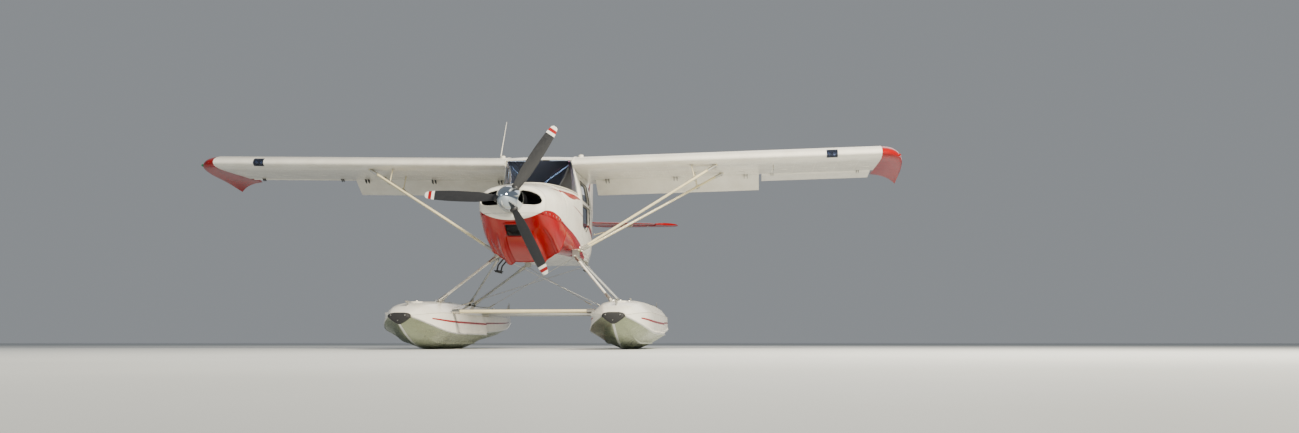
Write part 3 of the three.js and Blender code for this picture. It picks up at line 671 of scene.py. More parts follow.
def leather(name, colour):
    """Creased hide"""
    tree = Tree(name)
    grain = tree.node("ShaderNodeTexVoronoi", tree.place, feature="DISTANCE_TO_EDGE")
    grain.inputs["Scale"].default_value = 260.0
    fine = tree.bump(grain.outputs["Distance"], 0.25, 0.001)
    return tree.set(Base_Color=tree.mottled(colour, 0.5, 18.0, 3.0, 0.5),
                    Roughness=tree.patches(60.0, 3.0, 0.3, 0.7, 0.4, 0.6),
                    Normal=tree.bump(tree.noise(18.0, 3.0), 0.25, 0.01, fine))


WHITE = paint("white paint", WHITE_COLOUR)
CREAM = paint("cream paint", CREAM_COLOUR)
RED = paint("red paint", RED_COLOUR, grime=0.08)
BODY = body_paint("body paint")
FIN = fin_paint("fin paint")
GREY = paint("grey paint", (0.40, 0.42, 0.42), grime=0.5)
# Bare aluminium given a dark olive colour: painted reflection of green surroundings
REFLECTION_TINTED_HULL = bare_metal("hull sheet with painted reflection", (0.37, 0.40, 0.27), 0.16, 0.30)
TRIM = bare_metal("bright edge metal", (0.80, 0.80, 0.76), 0.22, 0.36, dull=0.25)
STEEL = bare_metal("plated steel", (0.56, 0.55, 0.50), 0.28, 0.45, dull=0.5)
CHROME = plain("polished spinner", (0.50, 0.57, 0.65), 0.02, 0.07, metal=1.0, relief=0.01, spread=0.1)
DARK = plain("black satin", (0.022, 0.022, 0.024), 0.4, 0.6)
# Near-black painted shade for the cowling's inner faces, inlet throats, chin duct and fastener slots
SHADE_BLACK = plain("painted shade black", (0.012, 0.012, 0.013), 0.7, 0.9)
RUBBER = plain("black rubber", (0.02, 0.02, 0.021), 0.6, 0.85, relief=0.35)
CAST = plain("cast engine metal", (0.16, 0.16, 0.17), 0.45, 0.7, metal=0.8, scale=220.0, relief=0.4)
EXHAUST = plain("scorched steel", (0.24, 0.17, 0.12), 0.35, 0.6, metal=1.0, scale=60.0)
BLADE = blade_paint("blade paint")
SCREEN_GLASS = glass("screen glass", (0.40, 0.52, 0.80), 1.0)
PANE_GLASS = glass("blue pane", (0.24, 0.29, 0.45), 0.95)
CLEAR = glass("clear lens", (0.93, 0.95, 0.97), 0.95, 1.4)
RED_LENS = glass("red lens", (0.8, 0.03, 0.02), 0.8, 1.45)
GREEN_LENS = glass("green lens", (0.03, 0.6, 0.2), 0.8, 1.45)
HIDE = leather("seat leather", (0.16, 0.07, 0.05))
LINING = woven("red-brown lining", (0.22, 0.035, 0.026))
CARPET = woven("carpet", (0.07, 0.07, 0.075), 0.004)
WEBBING = woven("webbing", (0.03, 0.03, 0.035))
FACE = plain("dial face", (0.01, 0.01, 0.011), 0.25, 0.4, Coat_Weight=0.6)
MARK = plain("dial mark", (0.8, 0.8, 0.76), 0.4, 0.5)


# Wing

def section_height(f, side):
    """Height of the wing's skin at a share of the chord, in chords: a four-digit section"""
    half = 5 * WING_THICKNESS * (0.2969 * math.sqrt(f) - 0.126 * f - 0.3516 * f ** 2
                                 + 0.2843 * f ** 3 - 0.1015 * f ** 4)
    if f < CAMBER_AT:
        camber = WING_CAMBER / CAMBER_AT ** 2 * (2 * CAMBER_AT * f - f * f)
    else:
        camber = WING_CAMBER / (1 - CAMBER_AT) ** 2 * (1 - 2 * CAMBER_AT + 2 * CAMBER_AT * f - f * f)
    return camber + side * (half + 0.0015 * f)


def wing_rise(x):
    return (abs(x) - ROOT_X) * math.sin(DIHEDRAL)


def wing_point(x, f, side, out=0.0, front=0.0, chord=CHORD, drop=0.0, thick=1.0):
    """Place on the wing's skin; f is the share of the chord, side 1 above and -1 below"""
    height = section_height(f, side) * CHORD * thick + side * out
    back = f * chord
    return (x, front + back * math.cos(INCIDENCE) + height * math.sin(INCIDENCE),
            WING_Z + wing_rise(x) - (front + back) * math.sin(INCIDENCE) + height * math.cos(INCIDENCE)
            - drop * (0.35 + 0.65 * f))


def wing_normal(x, f, side):
    """Direction square to the skin"""
    if f == 0:
        return unit((0, -1, -0.1))
    a, b = (np.array(wing_point(x, max(0.0, f + d), side)) for d in (-0.004, 0.004))
    along = unit(b - a)
    return unit(side * np.array((0, -along[2], along[1])))


def wing_ring(x, last=REAR_SHARE, steps=26, first=0.0, **form):
    """Section of the wing between two shares of its chord"""
    shares = [first + (last - first) * (k / steps) ** 1.8 for k in range(steps + 1)]
    over = [wing_point(x, f, 1, **form) for f in reversed(shares)]
    return over + [wing_point(x, f, -1, **form) for f in (shares if first else shares[1:])]


RIBS = [ROOT_PANEL_X + (END_X - ROOT_PANEL_X) * k / 14 for k in range(15)]
SPAR_SHARES = (0.135, 0.36, 0.615)
# Landing light bay: its sides across the wing and the share of the chord where its rear wall stands
LIGHT_SIDES = (3.905, 4.055)
LIGHT_SHARE = 0.036
# Radius and height of the rivet heads on the wing
WING_RIVET = (0.0045, 0.0016)
# Hinge plates under the wing, black as painted shade in place of their real painted metal: outline from the
# hinge line and the skin, places across, gap and half width
HINGE_PLATES = [
    ([(-0.122, 0), (-0.04, 0), (-0.012, -0.052), (-0.03, -0.066), (-0.08, -0.05)],
     (0.80, 1.80, 2.82), 0.022, 0.003),
    ([(-0.122, 0), (-0.052, 0), (-0.02, -0.04), (-0.05, -0.045)],
     (3.20, 4.42), 0.014, 0.0025),
]


def wing_skin():
    shape = Shape()
    inboard, outboard = LIGHT_SIDES
    shape.grid([wing_ring(x) for x in [*(x for x in RIBS if x < inboard), inboard]])
    shape.grid([wing_ring(x, first=LIGHT_SHARE) for x in (inboard + 0.0002, outboard - 0.0002)])
    shape.grid([wing_ring(x) for x in [outboard, *(x for x in RIBS if x > outboard)]])
    shape.grid([wing_ring(x, 1.0) for x in (ROOT_X, ROOT_PANEL_X - 0.0005)])
    shape.sheet([[wing_point(x, f, 1, 0.0004) for f in (0.735, 0.75, 0.765, 0.782)] for x in RIBS], 0.0018)
    for side in BOTH:
        lap = [[wing_point(x, SPAR_SHARES[0] + d, side, out) for d, out in
                ((-0.010, -0.0004), (-0.008, 0.0009), (0.008, 0.0009), (0.010, -0.0004), (0, -0.002))]
               for x in (ROOT_X, END_X)]
        shape.grid(lap)
    return shape


def wing_details():
    """Rivets along ribs and spars, covers, caps and hinge plates; finishes: paint, black as painted shade on
    the hinge plates, metal
    """
    shape = Shape()
    for x, side, f in product(RIBS, BOTH, np.arange(0.03, REAR_SHARE - 0.01, 0.028)):
        shape.stud(wing_point(x, f, side), wing_normal(x, f, side), *WING_RIVET)
    for f, side, x in product(SPAR_SHARES, BOTH, np.arange(ROOT_X + 0.02, END_X, 0.045)):
        shape.stud(wing_point(x, f, side, 0.0009), wing_normal(x, f, side), *WING_RIVET)
    for k in range(1, 14, 2):
        x = (RIBS[k] + RIBS[k + 1]) / 2
        at, up = wing_point(x, 0.52, -1), wing_normal(x, 0.52, -1)
        shape.lathe([(0.058, -0.002), (0.058, 0.0012), (0.054, 0.0022)], at, up, 28)
        for a in turns(8):
            spot = np.array(at) + 0.047 * np.array((math.cos(a), math.sin(a), 0))
            shape.stud(spot + up * 0.001, up, 0.0042, 0.0022, 2)
    cap, up = wing_point(0.55, 0.15, 1), wing_normal(0.55, 0.15, 1)
    shape.lathe([(0.055, -0.002), (0.055, 0.003), (0.034, 0.005), (0.034, 0.026), (0.030, 0.031)],
                cap, up, 28)
    shape.lathe([(0.012, 0.03), (0.012, 0.042), (0.008, 0.045)], cap, up, 14, 2)
    # The hinge plates take the black finish as painted shade
    for plate, places, gap, half in HINGE_PLATES:
        for x, dx in product(places, (-gap, gap)):
            top = wing_point(x, 0.70, -1)[2] + 0.01
            shape.prism([(HINGE_Y + y, top + z) for y, z in plate], x + dx - half, x + dx + half, finish=1)
    return shape


def leading_skin(x, f, side, out=0.0):
    """Place on the nose of the wing, moved out square to the skin"""
    return np.array(wing_point(x, f, side)) + wing_normal(x, f, side) * out


def landing_light():
    """Bay in the leading edge lined black as painted shade, two lamps and a tinted cover; finishes: black,
    metal, lens, paint
    """
    shape = Shape()
    inboard, outboard = LIGHT_SIDES
    middle = (inboard + outboard) / 2
    upper = [(f, 1) for f in (0.034, 0.022, 0.013, 0.006, 0.002)]
    nose = [*upper, (0, 1), *((f, -1) for f, _ in upper[::-1])]

    def cover(places, out, thickness, finish):
        shape.sheet([[leading_skin(x, f, side, out) for f, side in nose] for x in places], thickness, finish)

    # The bay's side and rear walls are black as painted shade; the real bay is pale inside
    for x, step in ((inboard, 0.002), (outboard, -0.002)):
        shape.prism([leading_skin(x, f, side, -0.0015)[1:] for f, side in nose], x + step * 0.2, x + step)
    rear = [wing_point(middle, LIGHT_SHARE - 0.0012, side)[1:] for side in BOTH]
    shape.sheet([[(x, *at) for at in rear] for x in (inboard + 0.001, outboard - 0.001)], 0.001)
    for x in (middle - 0.036, middle + 0.036):
        at, ahead = np.array(wing_point(x, 0.014, 1)) + (0, 0, -0.038), (0, -0.985, -0.17)
        shape.lathe([(0.020, -0.022), (0.031, -0.004), (0.033, 0.006), (0.030, 0.006), (0.024, -0.005),
                     (0.010, -0.016)], at, ahead, 28)
        shape.lathe([(0.008, -0.0155), (0.018, -0.008), (0.019, -0.006), (0.0175, -0.006), (0.006, -0.0135)],
                    at, ahead, 28, 1)
    cover(np.linspace(inboard, outboard, 9), 0.0016, 0.0016, 2)
    for x in (inboard - 0.004, outboard + 0.004):
        cover((x - 0.007, x + 0.007), 0.0012, 0.0012, 3)
        for f, side in nose[::2]:
            shape.stud(leading_skin(x, f, side, 0.0012), wing_normal(x, f, side), 0.003, 0.0012, 1)
    return shape


pair("wing", wing_skin(), WHITE, "white_paint")
pair("wing_details", wing_details(), [WHITE, DARK, STEEL], "white_paint")
pair("landing_light", landing_light(), [DARK, TRIM, PANE_GLASS, WHITE], "polished_metal")

TIP_TABLE = smooth([
    # x, leading edge, chord, drop, thickness
    (END_X + GAP, 0, 1.600, 0, 1), (4.76, 0.045, 1.582, 0.012, 0.97), (4.88, 0.190, 1.470, 0.048, 0.8),
    (4.965, 0.520, 1.175, 0.096, 0.5), (TIP_X, 1.010, 0.712, 0.135, 0.16),
])


def wing_tip():
    shape = Shape()
    rings = []
    for k in range(22):
        x = END_X + GAP + (TIP_X - END_X - GAP) * math.sin(k / 21 * math.pi / 2)
        front, chord, drop, thick = TIP_TABLE(x)
        rings.append(wing_ring(x, 1.0, 24, front=front, chord=chord, drop=drop, thick=thick))
    shape.grid(rings)
    for f, side in product(np.arange(0.03, 0.95, 0.04), BOTH):
        shape.stud(wing_point(END_X + 0.018, f, side), wing_normal(END_X, f, side), *WING_RIVET)
    return shape


def tip_light():
    """Teardrop position lamp on the wing tip's front corner; finishes: lens, metal"""
    shape = Shape()
    centre = np.array((4.885, 0.215, WING_Z + wing_rise(4.9) - 0.018))
    outward = unit((0.72, -0.69, 0))
    shape.lathe([(0.024, -0.02), (0.024, 0.004), (0.021, 0.007)], centre, outward, 20, 1)
    shape.lathe([(0.019, 0.004), (0.0185, 0.012), (0.0155, 0.021), (0.010, 0.027), (0.004, 0.029)],
                centre, outward, 20)
    return shape


pair("wing_tip", wing_tip(), RED, "red_paint")
piece("position_lamp_left", tip_light(), [RED_LENS, TRIM], "tinted_glass")
piece("position_lamp_right", tip_light().mirrored(), [GREEN_LENS, TRIM], "tinted_glass")


# Flaps and ailerons

def hinged(x, y, z, down):
    """Place on a surface that is drawn level and turned down about the wing's hinge line"""
    hinge = WING_Z + wing_rise(x) - HINGE_DROP
    return (x, HINGE_Y + y * math.cos(down) + z * math.sin(down),
            hinge - y * math.sin(down) + z * math.cos(down))


# From the hinge line to the trailing edge: how far aft and how far down
REACH = CHORD - HINGE_Y - 0.004
TRAIL_DROP = CHORD * math.sin(INCIDENCE) - HINGE_DROP


def surface_line(share, side):
    """Height of a surface's skin above its hinge at a share of its reach"""
    middle = -TRAIL_DROP * share
    half = (NOSE_RADIUS * (1 - share) + 0.004 * share) * (1 + 0.35 * share * (1 - share) * (1 + 0.5 * side))
    return middle + side * half


def control_surface(span, down):
    """Flap or aileron between two places across, turned down by an angle"""
    shape = Shape()
    nose = [math.radians(a) for a in range(96, 265, 12)]
    shares = [0.0, 0.1, 0.25, 0.45, 0.65, 0.82, 0.93, 1.0]
    outline = ([(REACH * s, surface_line(s, 1)) for s in reversed(shares)]
               + [(NOSE_RADIUS * math.cos(a), NOSE_RADIUS * math.sin(a)) for a in nose]
               + [(REACH * s, surface_line(s, -1)) for s in shares])
    shape.grid([[hinged(x, y, z, down) for y, z in outline] for x in np.linspace(span[0], span[1], 9)])
    up = np.array((0, math.sin(down), math.cos(down)))

    def rivet(x, share, side, radius, height):
        shape.stud(hinged(x, REACH * share, surface_line(share, side), down), side * up, radius, height)

    ribs = np.linspace(span[0] + 0.02, span[1] - 0.02, round((span[1] - span[0]) / 0.26) + 1)
    for x, share, side in product(ribs, np.arange(0.02, 0.97, 0.075), BOTH):
        rivet(x, share, side, 0.0038, 0.0014)
    for x in np.arange(span[0] + 0.02, span[1], 0.05):
        for share, side in ((0.04, -1), (0.04, 1), (0.93, 1), (0.93, -1)):
            rivet(x, share, side, 0.0035, 0.0012)
    return shape


pair("flap", control_surface(FLAP_SPAN, FLAP_REST), WHITE, "white_paint", "flap_*")
piece("aileron_left", control_surface(AILERON_SPAN, AILERON_REST), WHITE, "white_paint", "aileron_left")
piece("aileron_right", control_surface(AILERON_SPAN, -AILERON_REST).mirrored(), WHITE, "white_paint",
      "aileron_right")


# Floats

FLOAT_ROWS = smooth([
    # y, keel, half beam, chine, knuckle half width, knuckle height, deck half width, deck edge, crown, strake
    (BOW_Y, 0.300, 0.140, 0.385, 0.136, 0.410, 0.118, 0.432, 0.440, 0),
    (-1.75, 0.228, 0.222, 0.340, 0.214, 0.425, 0.152, 0.484, 0.497, 0),
    (-1.55, 0.145, 0.300, 0.288, 0.288, 0.442, 0.188, 0.528, 0.546, 0.003),
    (-1.25, 0.058, 0.362, 0.232, 0.346, 0.456, 0.218, 0.562, 0.584, 0.010),
    (-0.95, 0.014, 0.381, 0.206, 0.364, 0.460, 0.235, 0.582, 0.604, 0.014),
    (-0.65, 0, 0.385, 0.196, 0.368, 0.460, 0.240, 0.592, 0.614, 0.014),
    (STEP_Y, 0, 0.385, 0.192, 0.366, 0.460, 0.245, 0.596, 0.620, 0.014),
])
STERN_ROWS = smooth([
    (STEP_Y + 0.002, 0.066, 0.378, 0.222, 0.364, 0.460, 0.245, 0.596, 0.620, 0.006),
    (2.3, 0.150, 0.325, 0.280, 0.315, 0.462, 0.220, 0.582, 0.602, 0.004),
    (STERN_Y, 0.318, 0.118, 0.400, 0.112, 0.470, 0.090, 0.540, 0.552, 0),
])
KEEL_HALF = 0.014
STRAKE_SHARE = 0.52
# Where the red stripe on a float's side starts and ends, and the shares of the side's height it lies at
STRIPE_SPAN = (-1.62, 3.3)
STRIPE_SHARES = (0.53, 0.56, 0.59, 0.62)


def float_row(y):
    """The float's measures at a place aft, ahead of the step or behind it"""
    return (FLOAT_ROWS if y <= STEP_Y else STERN_ROWS)(y)


def float_ring(y):
    """Float section, from the keel's one edge round the deck to the other; x is from the float's centre"""
    keel, beam, chine, knuckle, knuckle_z, deck, deck_z, crown, strake = float_row(y)
    strake = max(strake, 0.0002)

    def bottom(x):
        share = (x - KEEL_HALF) / (beam - KEEL_HALF)
        hollow = 0.016 * math.sin(math.pi * min(1, share * 1.1)) * min(1, beam / 0.3)
        return keel + (chine - keel) * share - hollow

    sx = beam * STRAKE_SHARE
    half = [(KEEL_HALF, keel), (sx * 0.5, bottom(sx * 0.5)), (sx - 0.010, bottom(sx - 0.010)),
            (sx - 0.002, bottom(sx) - strake), (sx + 0.002, bottom(sx) - strake),
            (sx + 0.010, bottom(sx + 0.010)), (beam, chine), (beam - 0.004, chine + 0.012),
            (knuckle + 0.004, knuckle_z - 0.012), (deck + 0.012, deck_z - 0.012), (deck - 0.01, deck_z),
            (deck * 0.5, crown)]
    return half + [(-x, z) for x, z in reversed(half)]


def side_point(y, share, side, out=0.0):
    """Place on a float's topside between its chine and knuckle"""
    _, beam, chine, knuckle, knuckle_z, *_ = float_row(y)
    x = beam + (knuckle - beam) * share + out
    return (FLOAT_X + side * x, y, chine + (knuckle_z - chine) * share)


def float_edge(stations, side, column, out, up):
    """Line along a float at the half width and height that stand in a column of its rows and the next"""
    rows = [(y, *float_row(y)[column:column + 2]) for y in stations]
    return [(FLOAT_X + side * (x + out), y, z + up) for y, x, z in rows]


def float_hull():
    """Hull and deck; finishes: sheet metal darkened and tinted olive as painted reflection, white paint,
    bright edge, red paint
    """
    shape = Shape()
    bow = [BOW_Y + 1.25 * (k / 16) ** 1.3 for k in range(17)]
    for stations in ([*bow, *np.linspace(-0.5, STEP_Y, 6)], np.linspace(STEP_Y + 0.002, STERN_Y, 16)):
        rings = [[(FLOAT_X + x, y, z) for x, z in float_ring(y)] for y in stations]
        size = len(rings[0])
        finish = [0 if i < 6 or i >= size - 7 else 1 for i in range(size)]
        finish[-1] = 2
        shape.grid(rings, finish)
        for side in BOTH:
            shape.tube(float_edge(stations, side, 1, 0.001, 0.004), 0.0075, 8, 2)
            stripe = [[side_point(y, s, side, 0.0012) for s in STRIPE_SHARES[::-side]]
                      for y in stations if STRIPE_SPAN[0] <= y <= STRIPE_SPAN[1]]
            shape.sheet(stripe, 0.0022, 3)
            shape.tube(float_edge(stations, side, 3, 0.002, 0), 0.005, 6, 1)
    for z in (0.38, 0.5):
        shape.box((FLOAT_X - 0.022, STERN_Y - 0.02, z - 0.009), (FLOAT_X + 0.022, STERN_Y + 0.038, z + 0.009))
    return shape


def float_rivets(shape):
    """Rows of rivets over the frames of a float and along its sides"""
    for y in [*np.arange(-1.6, STEP_Y, 0.36), *np.arange(1.1, STERN_Y - 0.1, 0.36)]:
        half = [np.array((x, y, z)) for x, z in float_ring(y)[:12]]
        for a, b, spacing in ((0, 2, 0.03), (5, 6, 0.03), (7, 8, 0.035), (8, 9, 0.035)):
            run = half[b] - half[a]
            length = np.linalg.norm(run)
            normal = unit(np.cross((0, 1, 0), run))
            for k, side in product(range(1, int(length / spacing)), BOTH):
                x, _, z = half[a] + run * k * spacing / length
                shape.stud((FLOAT_X + side * x, y, z), (-side * normal[0], 0, -normal[2]), 0.004, 0.0016,
                           0 if a < 6 else 1)
    for y, side, share in product(np.arange(-1.8, STERN_Y - 0.03, 0.042), BOTH, (0.12, 0.9)):
        shape.stud(side_point(y, share, side), (side, 0, 0), 0.0038, 0.0015, 1)


def float_details():
    """Rivets, covers, cleats, plugs and deck walkway; finishes: metal, white, black"""
    shape = Shape()
    float_rivets(shape)
    up = (0, 0, 1)
    for y in (-1.25, -0.25, 0.25, 1.55, 2.45, 3.15):
        top = float_row(y)[7]
        radius = 0.085 if y < 2.4 else 0.06
        shape.lathe([(radius, -0.01), (radius, 0.004), (radius - 0.008, 0.009), (radius * 0.4, 0.011)],
                    (FLOAT_X, y, top), up, 30, 1)
        shape.lathe([(radius * 0.34, 0.008), (radius * 0.3, 0.02), (radius * 0.1, 0.021)],
                    (FLOAT_X, y, top), up, 18)
        for u, v in circle((FLOAT_X, y), radius - 0.012, 8):
            shape.stud((u, v, top + 0.008), up, 0.0045, 0.003)
    for y in (-1.62, -0.05, 2.9):
        top = float_row(y)[7]
        for dy in (-0.03, 0.03):
            shape.tube([(FLOAT_X, y + dy, top + dz) for dz in (-0.005, 0.045)], 0.009)
        shape.tube([(FLOAT_X, y + dy, top + dz) for dy, dz in
                    ((-0.085, 0.052), (-0.03, 0.046), (0.03, 0.046), (0.085, 0.052))],
                   [0.006, 0.011, 0.011, 0.006])
    for y, side in product(np.arange(0.4, 1.4, 0.12), BOTH):
        *_, deck, deck_z, crown, _ = float_row(y)
        slope = (crown - deck_z) / (deck * 0.5)
        shape.sheet([[(FLOAT_X + side * x, v, deck_z + slope * (deck - x) + 0.0015)
                      for x in (deck * 0.56, deck * 0.92)][::side] for v in (y, y + 0.09)], 0.003, 2)
    shape.tube([(FLOAT_X + x, 2.05, z) for x, z in
                ((-0.16, 0.60), (-0.16, 0.625), (0.16, 0.625), (0.16, 0.60))], 0.006, 8)
    return shape


def bow_bumper():
    """Moulded bumper with a rounded front and its screws; finishes: rubber, metal"""
    shape = Shape()
    outline = float_ring(BOW_Y)
    centre = 0.375
    steps = ((GAP, 0.975), (0.022, 0.975), (0.045, 0.94), (0.060, 0.88), (0.069, 0.80), (0.072, 0.70))
    shape.grid([[(FLOAT_X + x * share, BOW_Y - d, centre + (z - centre) * share) for x, z in outline]
                for d, share in steps])
    for dx, z in ((0.085, 0.405), (-0.085, 0.405), (0, 0.345)):
        shape.bolt((FLOAT_X + dx, BOW_Y - 0.0705, z), (0, -1, 0), 0.007, 1)
    return shape


pair("float", float_hull(), [REFLECTION_TINTED_HULL, WHITE, TRIM, RED], "float_metal", sharp=24)
pair("float_details", float_details(), [STEEL, WHITE, DARK], "float_metal")
pair("bow_bumper", bow_bumper(), [RUBBER, STEEL], "black_rubber")
POST_Y = STERN_Y + 0.055


def water_rudder():
    """Blade with its post, stiffeners, tiller and clamps"""
    shape = Shape()
    shape.tube([(FLOAT_X, POST_Y, z) for z in (0.33, 0.59)], 0.0135, 18)
    outline = [(0, 0.42), (0.06, 0.385), (0.4, 0.64), (0.345, 0.775), (0, 0.56)]
    shape.prism(rounded([(POST_Y + y, z) for y, z in outline], 0.035), FLOAT_X - 0.0045, FLOAT_X + 0.0045)
    for dx in (-0.0065, 0.0065):
        for run in (((0.07, 0.45), (0.33, 0.66)), ((0.05, 0.50), (0.30, 0.71))):
            shape.tube([(FLOAT_X + dx, POST_Y + y, z) for y, z in run], 0.004, 6)
    tiller = rounded(rect((FLOAT_X - 0.09, POST_Y - 0.012), (FLOAT_X + 0.09, POST_Y + 0.012)), 0.01)
    shape.prism(tiller, 0.573, 0.585, "z")
    for dx in (-0.08, 0.08):
        shape.bolt((FLOAT_X + dx, POST_Y, 0.585), (0, 0, 1), 0.006)
    for z in (0.352, 0.41, 0.53):
        shape.lathe([(0.02, -0.006), (0.02, 0.006)], (FLOAT_X, POST_Y, z), (0, 0, 1), 18)
    return shape


pair("water_rudder", water_rudder(), STEEL, "float_metal", "water_rudder_*", bevel=0.001)


# Streamlined struts

STRUT_SECTION = [
    (0.5, 0.0), (0.38, 0.13), (0.2, 0.3), (0.0, 0.43), (-0.18, 0.49), (-0.33, 0.44), (-0.44, 0.28),
    (-0.49, 0.1), (-0.49, -0.1), (-0.44, -0.28), (-0.33, -0.44), (-0.18, -0.49), (0.0, -0.43), (0.2, -0.3),
    (0.38, -0.13),
]


def strut_axes(start, end):
    """Directions along a strut, aft and across it"""
    along = unit(np.array(end) - start)
    aft = unit(np.array((0, 1, 0)) - along[1] * along)
    return along, aft, np.cross(along, aft)


def strut(shape, start, end, length, thickness, finish=0):
    """Streamlined bar with its rounded edge forward"""
    _, aft, across = strut_axes(start, end)
    shape.grid([[p + aft * a * length + across * b * thickness for a, b in STRUT_SECTION]
                for p in (np.array(start), np.array(end))], finish)


def fitted_strut(foot, head, length, thickness):
    """Strut with a cuff and bolts at each end; finishes: paint, metal, metal"""
    shape = Shape()
    strut(shape, foot, head, length, thickness)
    for at, towards in ((foot, head), (head, foot)):
        along, _, across = strut_axes(at, towards)
        strut(shape, at + along * 0.02, at + along * 0.15, length * 1.08, thickness * 1.25, 1)
        for d, out, radius in ((0.035, 0.62, 0.011), (0.075, 0.58, 0.006), (0.12, 0.58, 0.006)):
            for side in BOTH:
                shape.bolt(at + along * d + across * side * thickness * out, across * side, radius, 2)
    return shape


def first_place(start, end, share, steps, met):
    """First place from a share of the way along a line where met(place) holds, or else its end"""
    for k in range(steps):
        p = part_way(start, end, share + (1 - share) * k / steps)
        if met(p):
            return p
    return np.array(end)


# Each wing strut's lower end, upper end, length and thickness of section
WING_STRUTS = {
    "front": ((0.520, -0.072, 1.280), (2.530, 0.210, 2.560), 0.092, 0.036),
    "rear": ((0.520, 0.028, 1.280), (2.545, 0.985, 2.530), 0.078, 0.032),
}
JURY_AT = 0.8
BODY_SIDE_X = 0.574


def under_wing(x, y, gap):
    """Height just below the wing's lower skin"""
    return wing_point(x, y / CHORD, -1)[2] - gap


jury_ends = []
for name, (start, end, length, thickness) in WING_STRUTS.items():
    foot = part_way(start, end, (BODY_SIDE_X - start[0]) / (end[0] - start[0]))
    head = first_place(start, end, 0.5, 400, lambda p: p[2] > under_wing(p[0], p[1], 0.002))
    shape = fitted_strut(foot, head, length, thickness)
    joint = part_way(start, end, JURY_AT)
    jury_ends.append(joint)
    top = (joint[0] - 0.04, joint[1], under_wing(joint[0] - 0.04, joint[1], 0.001))
    strut(shape, joint, top, 0.03, 0.014)
    shape.lathe([(0.030, -0.02), (0.030, 0.02)], joint, np.array(end) - start, 16, 1)
    shape.lathe([(0.035, -0.012), (0.035, 0.0), (0.022, 0.002)], top, (0, 0, -1), 16, 1)
    pair(f"wing_strut_{name}", shape, [CREAM, STEEL, STEEL], "cream_paint")

jury = Shape()
jury.tube(jury_ends, 0.009)
pair("jury_cross_tube", jury, CREAM, "cream_paint")

# Each float strut's upper and lower end, length and thickness of section, finish, slot and head's height
FLOAT_STRUTS = {
    "front": ((0.510, -0.075, 1.262), (1.165, -0.863, 0.560), 0.088, 0.034, WHITE, "white_paint", 1.222),
    "diagonal": ((0.515, 0.035, 1.262), (1.120, 0.650, 0.575), 0.060, 0.028, GREY, "grey_paint", 1.222),
    "rear": ((0.420, 1.500, 1.245), (1.120, 0.770, 0.575), 0.084, 0.034, GREY, "grey_paint", 1.203),
}
# Direction square to a float's deck at its inner shoulder
SHOULDER_UP = (-0.42, 0, 0.9)


def float_deck_z(x, y):
    """Height of the float's outer skin above its inner shoulder"""
    ring = float_ring(y)[6:12]
    offset = abs(x - FLOAT_X)
    for (xa, za), (xb, zb) in zip(ring, ring[1:]):
        if xb <= offset <= xa:
            return za + (zb - za) * (xa - offset) / max(1e-9, xa - xb)
    return ring[-1][1]


for name, (start, end, length, thickness, finish, slot, head_z) in FLOAT_STRUTS.items():
    head = part_way(start, end, (start[2] - head_z) / (start[2] - end[2]))
    foot = first_place(head, end, 0.8, 200, lambda p: p[2] < float_deck_z(p[0], p[1]) + 0.002)
    shape = fitted_strut(head, foot, length, thickness)
    x, y = foot[:2]
    z = float_deck_z(x, y)
    shape.lathe([(0.055, -0.012), (0.055, 0.006), (0.046, 0.010)], (x, y, z), SHOULDER_UP, 20, 1)
    for a in turns(4, 0.5):
        spot = (x + 0.045 * math.cos(a), y + 0.045 * math.sin(a), z + 0.008 + 0.02 * math.cos(a))
        shape.bolt(spot, SHOULDER_UP, 0.006, 2)
    pair(f"float_strut_{name}", shape, [finish, STEEL, STEEL], slot)

BAR_Z = 0.478
for name, y, finish in (("front", -0.863, CREAM), ("rear", 0.75, GREY)):
    shape = Shape()
    reach = FLOAT_X - float_row(y)[3] + 0.004
    strut(shape, (-reach, y, BAR_Z), (reach, y, BAR_Z), 0.105, 0.048)
    for side in BOTH:
        strut(shape, (side * (reach - 0.10), y, BAR_Z), (side * reach, y, BAR_Z), 0.118, 0.06, 1)
        for dy in (-0.02, 0.02):
            shape.bolt((side * (reach - 0.05), y + dy, BAR_Z + 0.028), (0, 0, 1), 0.007, 1)
    piece(f"spreader_bar_{name}", shape, [finish, STEEL], "cream_paint")


# Cabin sides, doors and windows

WALL_LINE = smooth_line([(FLOOR_Z + GAP, 0.505), (1.45, 0.545), (1.75, 0.555), (2.06, 0.548), (2.44, 0.484)])
WALL_PLAN = smooth_line([(FRONT_END_Y + GAP, 0), (1.2, 0), (2.15, 0.13)])


def wall(y, z, depth=0.0):
    """Place on the left wall's skin, or a depth inside it"""
    return (WALL_LINE(z) - WALL_PLAN(y) - depth, y, z)


def lapped(outline, lap):
    """The outline moved out on each side"""
    middle = np.mean(outline, axis=0)
    return [(u + lap * np.sign(u - middle[0]), v + lap * np.sign(v - middle[1])) for u, v in outline]


# Outlines on the wall, each point a place aft and a height
DOOR = [(0.346, 1.668), (0.724, 1.346), (1.16, 1.346), (1.16, 2.404), (0.346, 2.404)]
UPPER_PANE = rect((0.41, 2.062), (1.095, 2.345))
LOWER_PANE = [(0.42, 1.70), (0.76, 1.64), (1.09, 1.79), (1.09, 2.01), (0.42, 2.01)]
REAR_PANE = [(1.26, 2.01), (1.96, 2.09), (1.84, 2.36), (1.26, 2.36)]
CABIN_SIDE = rect((FRONT_END_Y + GAP, FLOOR_Z + GAP), (CABIN_END_Y, WALL_TOP_Z))
PANE_DEPTH = 0.024


def gasket(shape, outline):
    """Rubber bead round an opening"""
    loop = [wall(u, v, 0.004) for u, v in spaced(outline, 0.05)]
    shape.tube(loop + loop[:2], 0.006, 8, 1)


